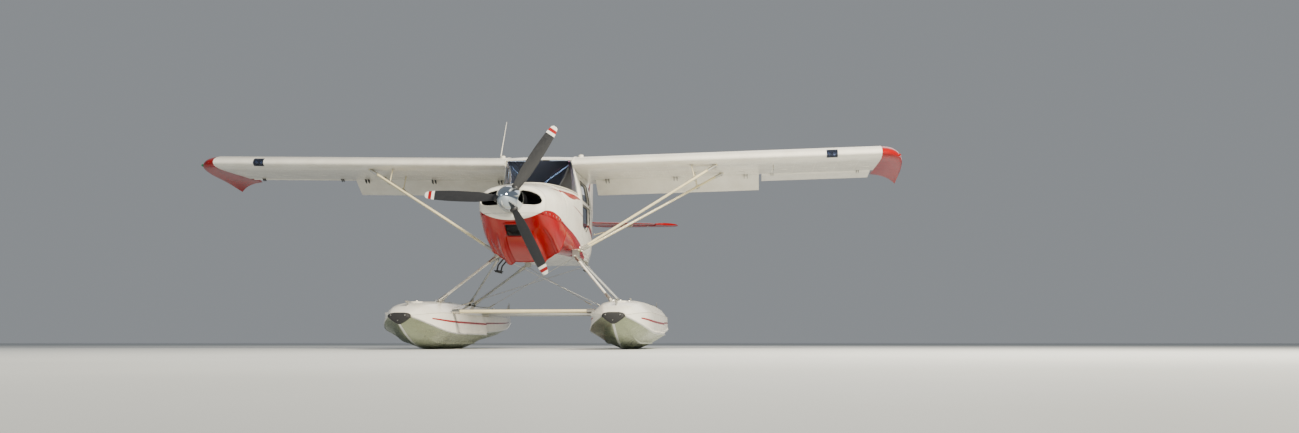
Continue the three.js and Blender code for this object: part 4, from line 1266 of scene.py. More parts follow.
def cabin_side():
    """Side wall; finishes: body paint, rubber, lining"""
    shape = Shape()
    opening, window = rounded(lapped(DOOR, 0.006), 0.03), rounded(REAR_PANE, 0.06)
    shape.panel(CABIN_SIDE, [opening, window], wall, 0.035, WALL, 0, 2)
    gasket(shape, window)
    rivets = spaced(rounded(lapped(REAR_PANE, 0.028), 0.07), 0.055)
    rivets += [(y, z) for y, z in product((0.275, 1.20, 1.68, 2.125), np.arange(1.33, 2.42, 0.035))
               if y != 1.68 or z <= 1.98]
    rivets += [(y, z) for y, z in product(np.arange(0.28, 2.13, 0.04), (1.325, 2.425))
               if z > 2 or y > 1.18 or y < 0.34]
    for y, z in rivets:
        shape.stud(wall(y, z), (1, 0, 0.05))
    return shape


def door():
    """Door with its frame pressings, seals, handle and hinges; finishes: paint, rubber, lining, metal"""
    shape = Shape()
    openings = [rounded(UPPER_PANE, 0.05), rounded(LOWER_PANE, 0.05)]
    shape.panel(rounded(DOOR, 0.028), openings, wall, 0.035, WALL, 0, 2)
    for opening, outline in zip(openings, (UPPER_PANE, LOWER_PANE)):
        gasket(shape, opening)
        for u, v in spaced(rounded(lapped(outline, 0.024), 0.06), 0.06):
            shape.stud(wall(u, v), (1, 0, 0.02), 0.0042, 0.0018, 3)
    handle = np.array(wall(1.10, 2.036, -0.012))
    shape.lathe([(0.022, -0.014), (0.022, -0.006), (0.016, 0.0)], handle, (1, 0, 0), 20, 3)
    grip = [handle, handle + (0.004, -0.05, 0.004), handle + (0.002, -0.115, 0.0)]
    shape.tube(grip, [0.009, 0.008, 0.006], 10, 3, up=(1, 0, 0))
    pin_x, pin_z = 0.492, 2.408
    for y in (0.44, 0.75, 1.06):
        for dy in (-0.022, 0, 0.022):
            shape.tube([(pin_x, y + dy + end, pin_z) for end in (-0.010, 0.010)], 0.006, 10, 3)
        leaf = [[wall(v, z, -0.0015) for z in (2.34, 2.37, 2.398)] for v in (y - 0.03, y, y + 0.03)]
        shape.sheet(leaf, 0.002, 3)
        for dy, z in ((-0.02, 2.352), (0.02, 2.352), (0, 2.38)):
            shape.stud(wall(y + dy, z, -0.0015), (1, 0, 0.1), 0.004, 0.002, 3)
    return shape


def behind_wall(y, z, depth):
    """Place where the window glass stands, or a depth inside it"""
    return wall(y, z, PANE_DEPTH + depth)


def pane(outline, lap, radius):
    """Window glass that laps behind its opening"""
    shape = Shape()
    shape.panel(rounded(lapped(outline, lap), radius), [], behind_wall, 0.06, 0.004)
    return shape


pair("cabin_side", cabin_side(), [BODY, RUBBER, LINING], "white_paint")
pair("door", door(), [BODY, RUBBER, LINING, STEEL], "white_paint", "door_*")
door_glass = pane(UPPER_PANE, 0.004, 0.05)
door_glass.join(pane(LOWER_PANE, 0.004, 0.05))
pair("door_glass", door_glass, PANE_GLASS, "tinted_glass", "door_*")
pair("rear_window", pane(REAR_PANE, 0.006, 0.06), PANE_GLASS, "tinted_glass")


# Front fuselage and windscreen

def oval_point(y, row, angle):
    """Place on a section whose row is half width, height of its widest place, top, bottom and squareness"""
    half, centre, top, bottom, power = row
    c, s = math.cos(angle), math.sin(angle)
    reach = top - centre if s > 0 else bottom - centre
    return (math.copysign(half * abs(c) ** (2 / power), c), y, centre + reach * abs(s) ** (2 / power))


def oval(y, row, sides=72):
    """The whole section as a ring"""
    return [oval_point(y, row, a) for a in turns(sides, 0.5)]


def crest(x, row):
    """Height of a section's top at a place across"""
    half, centre, top, _, power = row
    return centre + (top - centre) * (1 - min(1, abs(x) / half) ** power) ** (1 / power)


def oval_normal(p, row):
    """Direction out of a section's skin"""
    half, centre, top, *_ = row
    return unit((p[0] / half ** 2, 0, (p[2] - centre) / (top - centre) ** 2))


FRONT_ROWS = smooth([
    (FIREWALL_Y, 0.532, 1.720, 2.140, BELLY_Z, 2.9), (-0.4, 0.545, 1.720, 2.150, BELLY_Z, 4),
    (-0.1, 0.552, 1.720, 2.145, BELLY_Z, 6), (FRONT_END_Y, 0.555, 1.720, 2.130, BELLY_Z, 9),
])
# Half width of the windscreen's foot, how far ahead of the cabin it reaches, and where the deck ends
FOOT_HALF = 0.512
FOOT_LENGTH = 0.95
DECK_END_Y = -0.16


def nose_paint():
    """Body paint with an anti-glare deck inside the windscreen's foot"""
    tree = Tree("front fuselage paint")
    side = tree.times(tree.x, 1 / (FOOT_HALF - 0.012))
    length = tree.times(tree.minus(tree.y, FRONT_END_Y + AFT_SHIFT), 1 / (FOOT_LENGTH - 0.012))
    deck = tree.times(tree.above(1.0, tree.squares(side, length), 0.004), tree.above(tree.z, 2.0))
    shade = tree.mix(red_share(tree), WHITE_COLOUR, RED_COLOUR)
    return gloss(tree, tree.mix(deck, shade, DECK_COLOUR))


def front_fuselage():
    """Shell from firewall to cabin; finishes: paint, lining, steel"""
    shape = Shape()
    stations = np.linspace(FIREWALL_Y, DECK_END_Y, 12)
    rings = [oval(y, FRONT_ROWS(y)) for y in stations]
    for y in stations[::-1]:
        half, centre, top, bottom, power = FRONT_ROWS(y)
        rings.append(oval(y, (half - WALL, centre, top - WALL, bottom + WALL, power)))
    shape.grid(rings + rings[:1], caps=False)
    firewall = [(x, z) for x, _, z in oval(0, (0.505, 1.72, 2.11, 1.295, 2.9), 48)]
    shape.prism(firewall, FIREWALL_Y + 0.001, FIREWALL_Y + 0.004, "y", 2)
    rows = []
    for y in np.linspace(DECK_END_Y + 0.0005, FRONT_END_Y, 9):
        row = FRONT_ROWS(y)
        edge = FOOT_HALF * math.sqrt(1 - ((FRONT_END_Y - y) / FOOT_LENGTH) ** 2) - 0.014
        ring = opened([p for p in oval(y, row, 144) if p[2] < 1.9 or abs(p[0]) > edge + 0.002])
        rim = (math.copysign(edge, ring[0][0]), y, crest(edge, row))
        rows.append([rim, *ring, (-rim[0], y, rim[2])])
    shape.sheet(evened(rows), WALL, 0, 1)
    for y in (FIREWALL_Y + 0.02, FIREWALL_Y + 0.045, -0.35, 0.225):
        row = FRONT_ROWS(y)
        for p in spaced(oval(y, row), 0.035):
            if p[2] < 2.05:
                flat = abs(p[0]) >= 0.5
                shape.stud(p, (p[0], 0, 0) if flat else (p[0], 0, (p[2] - row[1]) * 0.8))
    lug = rounded(rect((-0.125, 1.225), (0.075, 1.335)), 0.025)
    for side in BOTH:
        shape.prism(lug, *sorted((side * 0.50, side * 0.572)), finish=2)
        for y, z in ((-0.072, 1.285), (0.028, 1.285), (-0.09, 1.25), (0.045, 1.25)):
            shape.bolt((side * 0.572, y, z), (side, 0, 0), 0.009, 2)
    return shape


piece("fuselage_front", front_fuselage(), [nose_paint(), LINING, STEEL], "white_paint")

# The windscreen's top edge: half width, place aft of its ends, height, and how far its middle bows ahead
SCREEN_HALF = 0.440
SCREEN_Y = 0.052
SCREEN_Z = 2.574
SCREEN_BOW = 0.046
SCREEN_BULGE = 0.010
# How far round the windscreen the lined cover of each door post reaches, in radians
POST_TRIM = 0.30


def screen_point(angle, share, inset=0.0):
    """Place on the windscreen at an angle round it, from the left, and a share of the way up"""
    c, s = math.cos(angle), math.sin(angle)
    x, y = FOOT_HALF * c, FRONT_END_Y - FOOT_LENGTH * s
    z = crest(x, FRONT_ROWS(min(y, FRONT_END_Y - 0.001))) + 0.006
    push = SCREEN_BULGE * math.sin(math.pi * share) - inset
    return (x + (SCREEN_HALF * c - x) * share + c * push,
            y + (SCREEN_Y - SCREEN_BOW * s - y) * share - s * push, z + (SCREEN_Z - z) * share)


def windscreen():
    shape = Shape()
    heights = np.linspace(0, 1, 15)
    shape.grid([[screen_point(a, s) for s in heights] + [screen_point(a, s, 0.006) for s in heights[::-1]]
                for a in np.linspace(0, math.pi, 49)])
    return shape


def screen_frame():
    """Foot moulding, posts, top strip and the inner brace tubes; finishes: paint, rubber, screws, lining"""
    shape = Shape()
    angles = np.linspace(0, math.pi, 61)
    for share, inset, radius, sides, finish, flat in ((0.012, -0.003, 0.013, 8, 0, 0.45),
                                                      (0.032, -0.002, 0.004, 6, 1, 1.0),
                                                      (0.985, -0.003, 0.012, 8, 0, 0.5)):
        shape.tube([screen_point(a, share, inset) for a in angles], radius, sides, finish, flat=flat)
    for end, turn in ((0.0, 1), (math.pi, -1)):
        post = [screen_point(end, s, -0.002) for s in np.linspace(0.0, 1.0, 8)]
        shape.tube(post, 0.017, up=(0, 1, 0))
        cover = [[screen_point(end + turn * a, s, 0.022) for s in np.linspace(0.06, 0.97, 9)]
                 for a in np.linspace(-0.02, POST_TRIM, 6)]
        shape.sheet(cover, 0.006, 3)
    for a in angles[2:-2:2]:
        shape.stud(screen_point(a, 0.014, -0.011), (math.cos(a), -math.sin(a), 0.5), 0.005, 0.002, 2)
    for side in BOTH:
        shape.tube([(side * 0.03, -0.30, 2.12), (side * 0.40, 0.09, 2.50)], 0.009)
    return shape


piece("windscreen", windscreen(), SCREEN_GLASS, "tinted_glass")
piece("windscreen_frame", screen_frame(), [WHITE, RUBBER, WHITE, LINING], "white_paint")


# Roof and tail cone

TAIL_TOP_Z = 2.436
CONE_END_Y = TAIL_HINGE_Y - 0.032
CONE_ROWS = smooth([
    (CABIN_END_Y + GAP, 0.422, 1.860, TAIL_TOP_Z, BELLY_Z + 0.03, 5), (2.9, 0.318, 1.920, 2.350, 1.440, 4),
    (3.88, 0.185, 2.000, 2.228, 1.700, 3.4), (4.3, 0.120, 2.010, 2.150, 1.812, 3),
    (CONE_END_Y, 0.052, 2.060, 2.148, 1.975, 3),
])
FAIRING_LENGTH = 0.34
# Where the roof leaves the wing section and runs straight to the tail cone
ROOF_KNEE_Y = 1.3


def roof_height(y):
    share = min(y / CHORD, 1.0)
    if y <= ROOF_KNEE_Y:
        return WING_Z - y * math.sin(INCIDENCE) + section_height(share, 1) * CHORD * math.cos(INCIDENCE)
    rear = roof_height(ROOF_KNEE_Y)
    return rear + (TAIL_TOP_Z + 0.03 - rear) * (y - ROOF_KNEE_Y) / (CABIN_END_Y - ROOF_KNEE_Y)


def roof_skin(x, y, half):
    """Height of the roof, slightly crowned across its half width"""
    return roof_height(y) - 0.003 + 0.013 * (1 - (x / half) ** 2)


def roof_half(y):
    return min(ROOT_X - 0.001, WALL_LINE(WALL_TOP_Z) - WALL_PLAN(y))


def rear_fairing():
    """Skin that eases the roof's rear edge down on to the tail cone"""
    half = roof_half(CABIN_END_Y)
    start = CABIN_END_Y + 0.0008
    rows = []
    for t in np.linspace(0, 1, 16):
        y = start + FAIRING_LENGTH * t
        row = []
        for a in np.linspace(math.pi / 2, -math.pi / 2, 33):
            across = math.sin(a)
            x = across * half * (1 - 0.25 * t)
            rise = roof_skin(x, CABIN_END_Y, half) - crest(x, CONE_ROWS(start))
            shoulder = max(0.0, 1 - abs(across) ** 7) ** (1 / 5)
            row.append((x, y, crest(x, CONE_ROWS(y)) + 0.0012 + rise * (1 - ease(t)) * shoulder))
        rows.append(row)
    return rows


def cabin_roof():
    """Roof skin, headliner, root sealing strips and rear fairing; finishes: paint, lining"""
    shape = Shape()
    rings = []
    for y in [0.064, 0.09, 0.12, 0.16, 0.22, 0.3, 0.42, 0.6, 0.85, 1.1, 1.3, 1.5, 1.7, 1.9, CABIN_END_Y]:
        half = roof_half(y)
        ceiling = roof_height(y) - 0.024
        foot = WALL_TOP_Z + 0.0006 if y > 1.0 else ceiling - GAP
        inner = half - 0.028
        over = [(x, y, roof_skin(x, y, half)) for x in np.linspace(-half, half, 9)]
        right = [(half, y, foot), (inner, y, foot), (inner, y, ceiling)]
        under = [(x, y, ceiling) for x in np.linspace(inner - 0.03, 0.03 - inner, 7)]
        rings.append(over + right + under + [(-x, y, z) for x, y, z in right[::-1]])
    shape.grid(rings, [0] * 9 + [1] * 12 + [0])
    for side in BOTH:
        strip = [wing_point(ROOT_X * side, f, 1, 0.004) for f in np.linspace(0.0, 0.97, 30) ** 1.5]
        shape.tube(strip, 0.011, 8, flat=0.5)
    shape.sheet(rear_fairing(), 0.004)
    seam = CONE_ROWS(CABIN_END_Y + FAIRING_LENGTH)
    for x in np.linspace(-0.24, 0.24, 13):
        shape.stud((x, CABIN_END_Y + FAIRING_LENGTH - 0.012, crest(x, seam) + 0.002), (0, 0.1, 1))
    for y in (0.35, 0.75, 1.15, 1.55, 1.95):
        half = roof_half(y)
        for x in np.arange(0.03 - half, half - 0.02, 0.04):
            shape.stud((x, y, roof_skin(x, y, half)), (0, 0.05, 1))
    return shape


piece("cabin_roof", cabin_roof(), [WHITE, LINING], "white_paint")


def tail_cone():
    """Tail cone, ventral fin, rivets, mooring ring and tail lamp; finishes: paint, steel, lens"""
    shape = Shape()
    shape.grid([oval(y, CONE_ROWS(y)) for y in np.linspace(CABIN_END_Y + GAP, CONE_END_Y, 26)])
    shape.prism(rounded([(4.33, 1.90), (4.44, 1.80), (4.862, 1.80), (4.862, 2.01)], 0.03), -0.012, 0.012)
    for y in (2.17, 2.55, 2.95, 3.38, 3.82, 4.26):
        row = CONE_ROWS(y)
        for p in spaced(oval(y, row), 0.032):
            shape.stud(p, oval_normal(p, row), 0.0038, 0.0014)
    for share, y in product((0.06, 0.20, 0.30, 0.44, 0.56, 0.70, 0.80, 0.94), np.arange(2.2, 4.5, 0.045)):
        row = CONE_ROWS(y)
        p = oval_point(y, row, 2 * math.pi * share)
        shape.stud(p, oval_normal(p, row), 0.0036, 0.0013)
    ring = [(0, 4.58 + 0.03 * math.cos(a), 1.785 + 0.03 * math.sin(a))
            for a in np.linspace(0, 2 * math.pi, 20)]
    shape.tube(ring, 0.006, 8, 1, up=(1, 0, 0))
    for profile, finish in (([(0.024, -0.003), (0.024, 0.003), (0.020, 0.004)], 1),
                            ([(0.019, 0.003), (0.018, 0.010), (0.012, 0.015), (0.004, 0.017)], 2)):
        shape.lathe(profile, (0, CONE_END_Y, 2.045), (0, 1, 0), 24, finish)
    return shape


piece("tail_cone", tail_cone(), [BODY, STEEL, CLEAR], "white_paint")


# Tail surfaces

STAB_ROOT_X = 0.11
STAB_TIP_X = 1.185
# Leading edge at the stabiliser's root, how far aft its tip lies, and half thickness at root and tip
STAB_FRONT_Y = 4.33
STAB_SWEEP = 0.31
STAB_HALF = (0.024, 0.016)
ELEVATOR_TIP_X = 1.59
RUDDER_HALF = 0.0185


def blade_section(front, back, half):
    """Pairs of place aft and half thickness round a rounded section, from its back edge to its back edge"""
    line = []
    for k in range(10):
        t = (k / 9) ** 1.7
        full = math.sqrt(t / 0.35) if t < 0.35 else 1 - 0.35 * (t - 0.35) / 0.65
        line.append((front + (back - front) * t, half * full))
    return line + [(y, -h) for y, h in reversed(line[1:])]


def stabiliser():
    shape = Shape()
    rings = []
    half_span = [STAB_ROOT_X, 0.45, 0.8, 1.13, 1.17, STAB_TIP_X]
    for x in [-x for x in half_span[::-1]] + half_span:
        share = max(0.0, (abs(x) - STAB_ROOT_X) / (STAB_TIP_X - STAB_ROOT_X))
        end = abs(x) / STAB_TIP_X
        slim, back = (1.0, 0.0) if end < 0.96 else (0.75, 0.012) if end < 0.995 else (0.45, 0.04)
        front = STAB_FRONT_Y + STAB_SWEEP * share + back
        half = (STAB_HALF[0] + (STAB_HALF[1] - STAB_HALF[0]) * share) * slim
        rings.append([(x, y, TAIL_Z + h) for y, h in blade_section(front, TAIL_HINGE_Y - 0.034, half)])
    shape.grid(rings)
    for x in (0.2, 0.43, 0.66, 0.89, 1.11):
        share = (x - STAB_ROOT_X) / (STAB_TIP_X - STAB_ROOT_X)
        places = np.arange(STAB_FRONT_Y + 0.09 + STAB_SWEEP * share, TAIL_HINGE_Y - 0.05, 0.032)
        for y, side, up in product(places, BOTH, BOTH):
            shape.stud((side * x, y, TAIL_Z + up * (0.022 - 0.008 * share)), (0, 0, up), 0.0035, 0.0013)
    return shape


def elevator():
    """Both halves with their horns, tube, hinges and trim tab; finishes: paint, steel"""
    shape = Shape()
    front = TAIL_HINGE_Y + 0.006
    tip = ELEVATOR_TIP_X
    rim = rounded([(0.105, front), (1.2, front), (1.2, 4.695), (1.33, 4.71), (tip - 0.03, 4.86), (tip, 5.04),
                   (tip - 0.06, 5.16), (0.3, 5.228), (0.262, 5.215)], 0.035)
    hinge = [(-0.012, -0.026), (0.03, -0.024), (0.03, -0.015), (-0.012, -0.015)]

    def skin(u, v, depth):
        """Upper skin at no depth, and the lower one at any other"""
        back = min(1.0, max(0.0, (v - TAIL_HINGE_Y) / 0.32))
        edge = min(1.0, max(0.0, (tip - u) / 0.12), max(0.0, v - 4.69) / 0.03 + 0.15)
        half = (0.018 - 0.0145 * back) * (0.35 + 0.65 * edge)
        return (u, v, TAIL_Z + (half if depth == 0 else -half))

    for side in BOTH:
        part = Shape()
        part.panel(rim, [], skin, 0.04, 1.0)
        part.tube([(0.09, TAIL_HINGE_Y, TAIL_Z), (1.42, TAIL_HINGE_Y, TAIL_Z)], 0.0195, 18)
        places = np.arange(TAIL_HINGE_Y + 0.03, 5.14, 0.035)
        for x, y, up in product((0.25, 0.5, 0.75, 1.0, 1.25, 1.45), places, BOTH):
            part.stud(skin(x, y, 1 - up), (0, 0, up), 0.0033, 0.0012)
        for x in (0.18, 0.62, 1.06):
            part.prism([(TAIL_HINGE_Y + y, TAIL_Z + z) for y, z in hinge], x - 0.012, x + 0.012, finish=1)
        if side < 0:
            part.sheet([[(x, y, TAIL_Z + 0.0075) for y in (5.13, 5.21)] for x in (0.45, 0.95)], 0.002, 1)
        shape.join(part if side > 0 else part.mirrored())
    shape.tube([(-0.12, TAIL_HINGE_Y, TAIL_Z), (0.12, TAIL_HINGE_Y, TAIL_Z)], 0.0135, 16, 1)
    return shape


def fin():
    """Fin with rounded leading edge and top"""
    shape = Shape()
    back = TAIL_HINGE_Y - 0.03
    upper = (2.2161, 2.246, 2.4, 2.6, 2.8, 3.0, 3.15, 3.27, 3.30, 3.325, 3.338, 3.345)
    for heights, end in ((upper, back), ((2.142, 2.17, 2.20, 2.2165), 4.322)):
        rings = []
        for z in heights:
            front, half = FIN_ROWS(z)
            rings.append([(h, y, z) for y, h in blade_section(front, end, half)])
        shape.grid(rings)
    for side in BOTH:
        seam = [(side * 0.036, y, z) for y, z in
                ((3.80, 2.246), (3.9, 2.226), (4.05, 2.198), (4.2, 2.168), (4.32, 2.153))]
        shape.tube(seam, [0.010, 0.016, 0.016, 0.016, 0.014], 8)
    for z in (2.35, 2.6, 2.85, 3.1):
        front, half = FIN_ROWS(z)
        for y, side in product(np.arange(front + 0.14, back - 0.02, 0.035), BOTH):
            shape.stud((side * half * 0.93, y, z), (side, 0, 0), 0.0035, 0.0014)
    return shape


# Height, leading edge and half thickness of the fin, and height and back edge of the rudder
FIN_ROWS = smooth([(2.12, 3.76, 0.036), (2.246, 3.86, 0.036), (2.75, 4.209, 0.030), (3.27, 4.57, 0.022),
                   (3.32, 4.63, 0.018), (3.345, 4.69, 0.010)])
RUDDER_BACK = smooth_line([(2.268, 5.205), (2.42, TAIL_END_Y), (3.18, TAIL_END_Y), (3.335, 5.17)])


def rudder():
    """Rudder with its rivets and trim tab; finishes: paint, steel"""
    shape = Shape()
    rings = []
    for z in [2.268, 2.285, 2.34, 2.42, 2.6, 2.8, 3.0, 3.18, 3.26, 3.315, 3.335]:
        chord = RUDDER_BACK(z) - TAIL_HINGE_Y
        line = [(chord * t, RUDDER_HALF * (1 - t) + 0.003 * t) for t in (1.0, 0.85, 0.6, 0.35, 0.15, 0)]
        nose = [(RUDDER_HALF * math.cos(a), RUDDER_HALF * math.sin(a))
                for a in (math.radians(d) for d in (120, 150, 180, 210, 240))]
        section = line + nose + [(y, -h) for y, h in line[::-1]]
        rings.append([(h, TAIL_HINGE_Y + y, z) for y, h in section])
    shape.grid(rings)
    for z in (2.36, 2.6, 2.85, 3.1, 3.25):
        back = RUDDER_BACK(z)
        for y, side in product(np.arange(TAIL_HINGE_Y + 0.02, back - 0.02, 0.035), BOTH):
            t = (y - TAIL_HINGE_Y) / (back - TAIL_HINGE_Y)
            shape.stud((side * (RUDDER_HALF - 0.0155 * t), y, z), (side, 0, 0), 0.0035, 0.0013)
    shape.sheet([[(0.0035, y, z) for y in (5.20, TAIL_END_Y - 0.002)] for z in (2.5, 2.72)], 0.002, 1)
    return shape


piece("stabiliser", stabiliser(), RED, "red_paint")
piece("elevator", elevator(), [RED, STEEL], "red_paint", "elevator")
piece("fin", fin(), FIN, "white_paint")
piece("rudder", rudder(), [FIN, STEEL], "white_paint", "rudder")

tail_strut = Shape()
strut(tail_strut, (0.098, 4.742, 1.998), (0.785, 4.789, 2.1655), 0.034, 0.016)
for at in ((0.11, 4.743, 2.001), (0.775, 4.788, 2.163)):
    tail_strut.lathe([(0.018, -0.01), (0.018, 0.01)], at, (0, 1, 0), 14, 1)
pair("tail_strut", tail_strut, [CREAM, STEEL], "cream_paint")


# Cowling

COWL_NOSE_Y = -1.712
COWL_END_Y = FIREWALL_Y - GAP
COWL_ROWS = smooth([
    (COWL_NOSE_Y, 0.325, 1.790, 1.925, 1.590, 2.3), (-1.690, 0.368, 1.785, 1.962, 1.560, 2.35),
    (-1.640, 0.402, 1.780, 1.985, 1.528, 2.4), (-1.400, 0.456, 1.765, 2.030, 1.380, 2.5),
    (-1.100, 0.502, 1.745, 2.082, 1.225, 2.6), (COWL_END_Y, 0.530, 1.725, 2.138, 1.098, 2.7),
])
COWL_WALL = 0.010
BOWL_END_Y = -1.60
# Two points of the line that parts the upper cowling from the lower, and half the gap between them
SPLIT_FRONT = (-1.8, 1.642)
SPLIT_REAR = (FIREWALL_Y + 0.05, 1.562)
SPLIT_GAP = 0.0015
CHIN_HALF = 0.108
CHIN_LOW = 1.385
CHIN_HIGH = 1.520
CHIN_Z = 1.45
# Heights about which the walls of the nose bowl and the lower cowling's front shrink
BOWL_CENTRE_Z = 1.78
LOWER_CENTRE_Z = 1.74


def split_height(y):
    (y0, z0), (y1, z1) = SPLIT_FRONT, SPLIT_REAR
    return z0 + (z1 - z0) * (y - y0) / (y1 - y0)


def cowl_depth(x, z):
    """How far aft the cowling's skin lies at a place seen from ahead"""
    low, high = COWL_NOSE_Y, -0.9
    for _ in range(24):
        y = (low + high) / 2
        half, centre, top, bottom, power = COWL_ROWS(y)
        reach = top - centre if z > centre else centre - bottom
        if (abs(x) / half) ** power + (abs(z - centre) / reach) ** power > 1:
            low = y
        else:
            high = y
    return (low + high) / 2


def seen_ahead(outline, step, centre, share, back):
    """The outline set on the cowling's skin, then shrunk about a centre and moved aft"""
    u, w = centre
    return [(u + (x - u) * share, cowl_depth(x, z) + back, w + (z - w) * share)
            for x, z in spaced(outline, step)]


INLET = rounded([(0.120, 1.735), (0.300, 1.722), (0.368, 1.742), (0.386, 1.790), (0.352, 1.856),
                 (0.250, 1.905), (0.105, 1.928), (0.128, 1.830)], 0.05)
INLET_CENTRE = (0.28, 1.815)


def nose_bowl():
    """Front of the upper cowling, from the spinner to the split line, with inlets; finishes: paint,
    near-black painted shade in the inlet throats and on the inner face
    """
    shape = Shape()
    floor_z = split_height(-1.66) + 0.004
    outline = opened([(x, z) for x, _, z in oval(0, COWL_ROWS(BOWL_END_Y), 144) if z > floor_z])
    mirror = [(-x, z) for x, z in INLET][::-1]

    def place(u, v, depth):
        shrink = 1 - depth * 1.4
        return (u * shrink, cowl_depth(u, v) + depth, BOWL_CENTRE_Z + (v - BOWL_CENTRE_Z) * shrink)

    def inlet(side, step, share, back):
        """Ring round the inlet of one side"""
        return [(side * x, y, z) for x, y, z in seen_ahead(INLET, step, INLET_CENTRE, share, back)]

    shape.panel(outline, [INLET, mirror, circle((0, PROP_Z), 0.082, 32)], place, 0.014, COWL_WALL, 0, 1)
    for side in BOTH:
        lip = inlet(side, 0.02, 1.0, 0.006)
        shape.tube(lip + lip[:2], 0.009, 8, up=(0, 1, 0))
        # Each inlet's throat is near-black painted shade
        shape.grid([inlet(side, 0.03, share, 0.008 + back)
                    for share, back in ((1.0, 0), (0.97, 0.05), (1.02, 0.13), (1.06, 0.18))], 1, caps=False)
    return shape


def upper_cowl():
    """Upper cowling behind the bowl, with its fasteners; finishes: paint, steel, near-black painted shade in
    the fastener slots and on the inner face
    """
    shape = Shape()
    rows = evened([opened([p for p in oval(y, COWL_ROWS(y), 180) if p[2] > split_height(y)])
                   for y in np.linspace(BOWL_END_Y, COWL_END_Y, 22)])
    for row in rows:
        row[[0, -1], 2] = split_height(row[0][1]) + SPLIT_GAP
    shape.sheet(rows, COWL_WALL, 0, 2)
    for y, side in product(np.linspace(-1.56, -0.80, 8), BOTH):
        half, centre, _, bottom, power = COWL_ROWS(y)
        z = split_height(y) + 0.03
        x = side * half * (1 - (abs(z - centre) / (centre - bottom)) ** power) ** (1 / power)
        shape.lathe([(0.012, -0.001), (0.012, 0.0015), (0.009, 0.003)], (x, y, z), (side, 0, 0), 14, 1)
        # The fastener's slot is near-black painted shade
        shape.box((x - 0.003, y - 0.007, z - 0.001), (x + 0.003, y + 0.007, z + 0.001), 2)
    rear = FIREWALL_Y - 0.025
    row = COWL_ROWS(rear)
    for p in spaced(oval(rear, row), 0.09):
        if p[2] > split_height(FIREWALL_Y) + 0.03:
            shape.lathe([(0.010, -0.001), (0.010, 0.0015), (0.007, 0.003)], p, oval_normal(p, row), 14, 1)
    return shape


# Places across the lower cowling where its pressed forms start and end
PRESS_X = (0.0, 0.136, 0.150, 0.187, 0.213, 0.275, 0.383, 0.406, 0.418, 0.46)


def split_angle(y):
    """Angle round the cowling, up from its side, at which the split line lies below the widest place"""
    _, centre, _, bottom, power = COWL_ROWS(y)
    share = (centre - split_height(y) + SPLIT_GAP) / (centre - bottom)
    return math.asin(min(1.0, max(0.0, share)) ** (power / 2))


def press_scale(y):
    """Share of their full width that the pressed forms have at a place aft"""
    half, *_, power = COWL_ROWS(y)
    return min(1.0, 0.93 * half * math.cos(split_angle(y)) ** (2 / power) / PRESS_X[-1])


def lower_push(p):
    """Forms pressed into the lower cowling: a recessed centre panel with a flute and a crease at each side"""
    x, y, z = p
    half, centre, _, bottom, _ = COWL_ROWS(y)
    under = ease((centre - 0.10 - z) / 0.16)
    a = abs(x) / press_scale(y)
    recess = -0.018 * ease((0.150 - a) / 0.012) * ease((y + 1.405) / 0.03)
    flute = 0.034 * ease((a - 0.150) / 0.035) * ease((0.275 - a) / 0.06) * ease((y + 1.52) / 0.30)
    valley = -0.010 * ease((a - 0.25) / 0.05) * ease((0.42 - a) / 0.03) * ease((y + 1.50) / 0.2)
    ridge = 0.014 * ease((a - 0.385) / 0.02) * ease((0.50 - a) / 0.07) * ease((y + 1.48) / 0.2)
    outward = unit((x / half ** 2 * 0.5, -0.25, (z - centre) / (centre - bottom) ** 2))
    return np.array(p) + outward * (recess + flute + valley + ridge) * under


def lower_row(y):
    """One row of the lower cowling's skin, with columns that follow the pressed forms"""
    half, centre, _, bottom, power = COWL_ROWS(y)
    across = [a * press_scale(y) for a, _ in spaced([(a, 0) for a in PRESS_X], 0.009, False)]
    row = [(x, y, centre - (centre - bottom) * (1 - (x / half) ** power) ** (1 / power)) for x in across]
    low = math.acos((across[-1] / half) ** (power / 2))
    for k in range(1, 25):
        angle = low + (split_angle(y) - low) * k / 24
        row.append(oval_point(y, COWL_ROWS(y), -angle))
    left = [lower_push(p) for p in row]
    return [q * (-1, 1, 1) for q in left[:0:-1]] + left


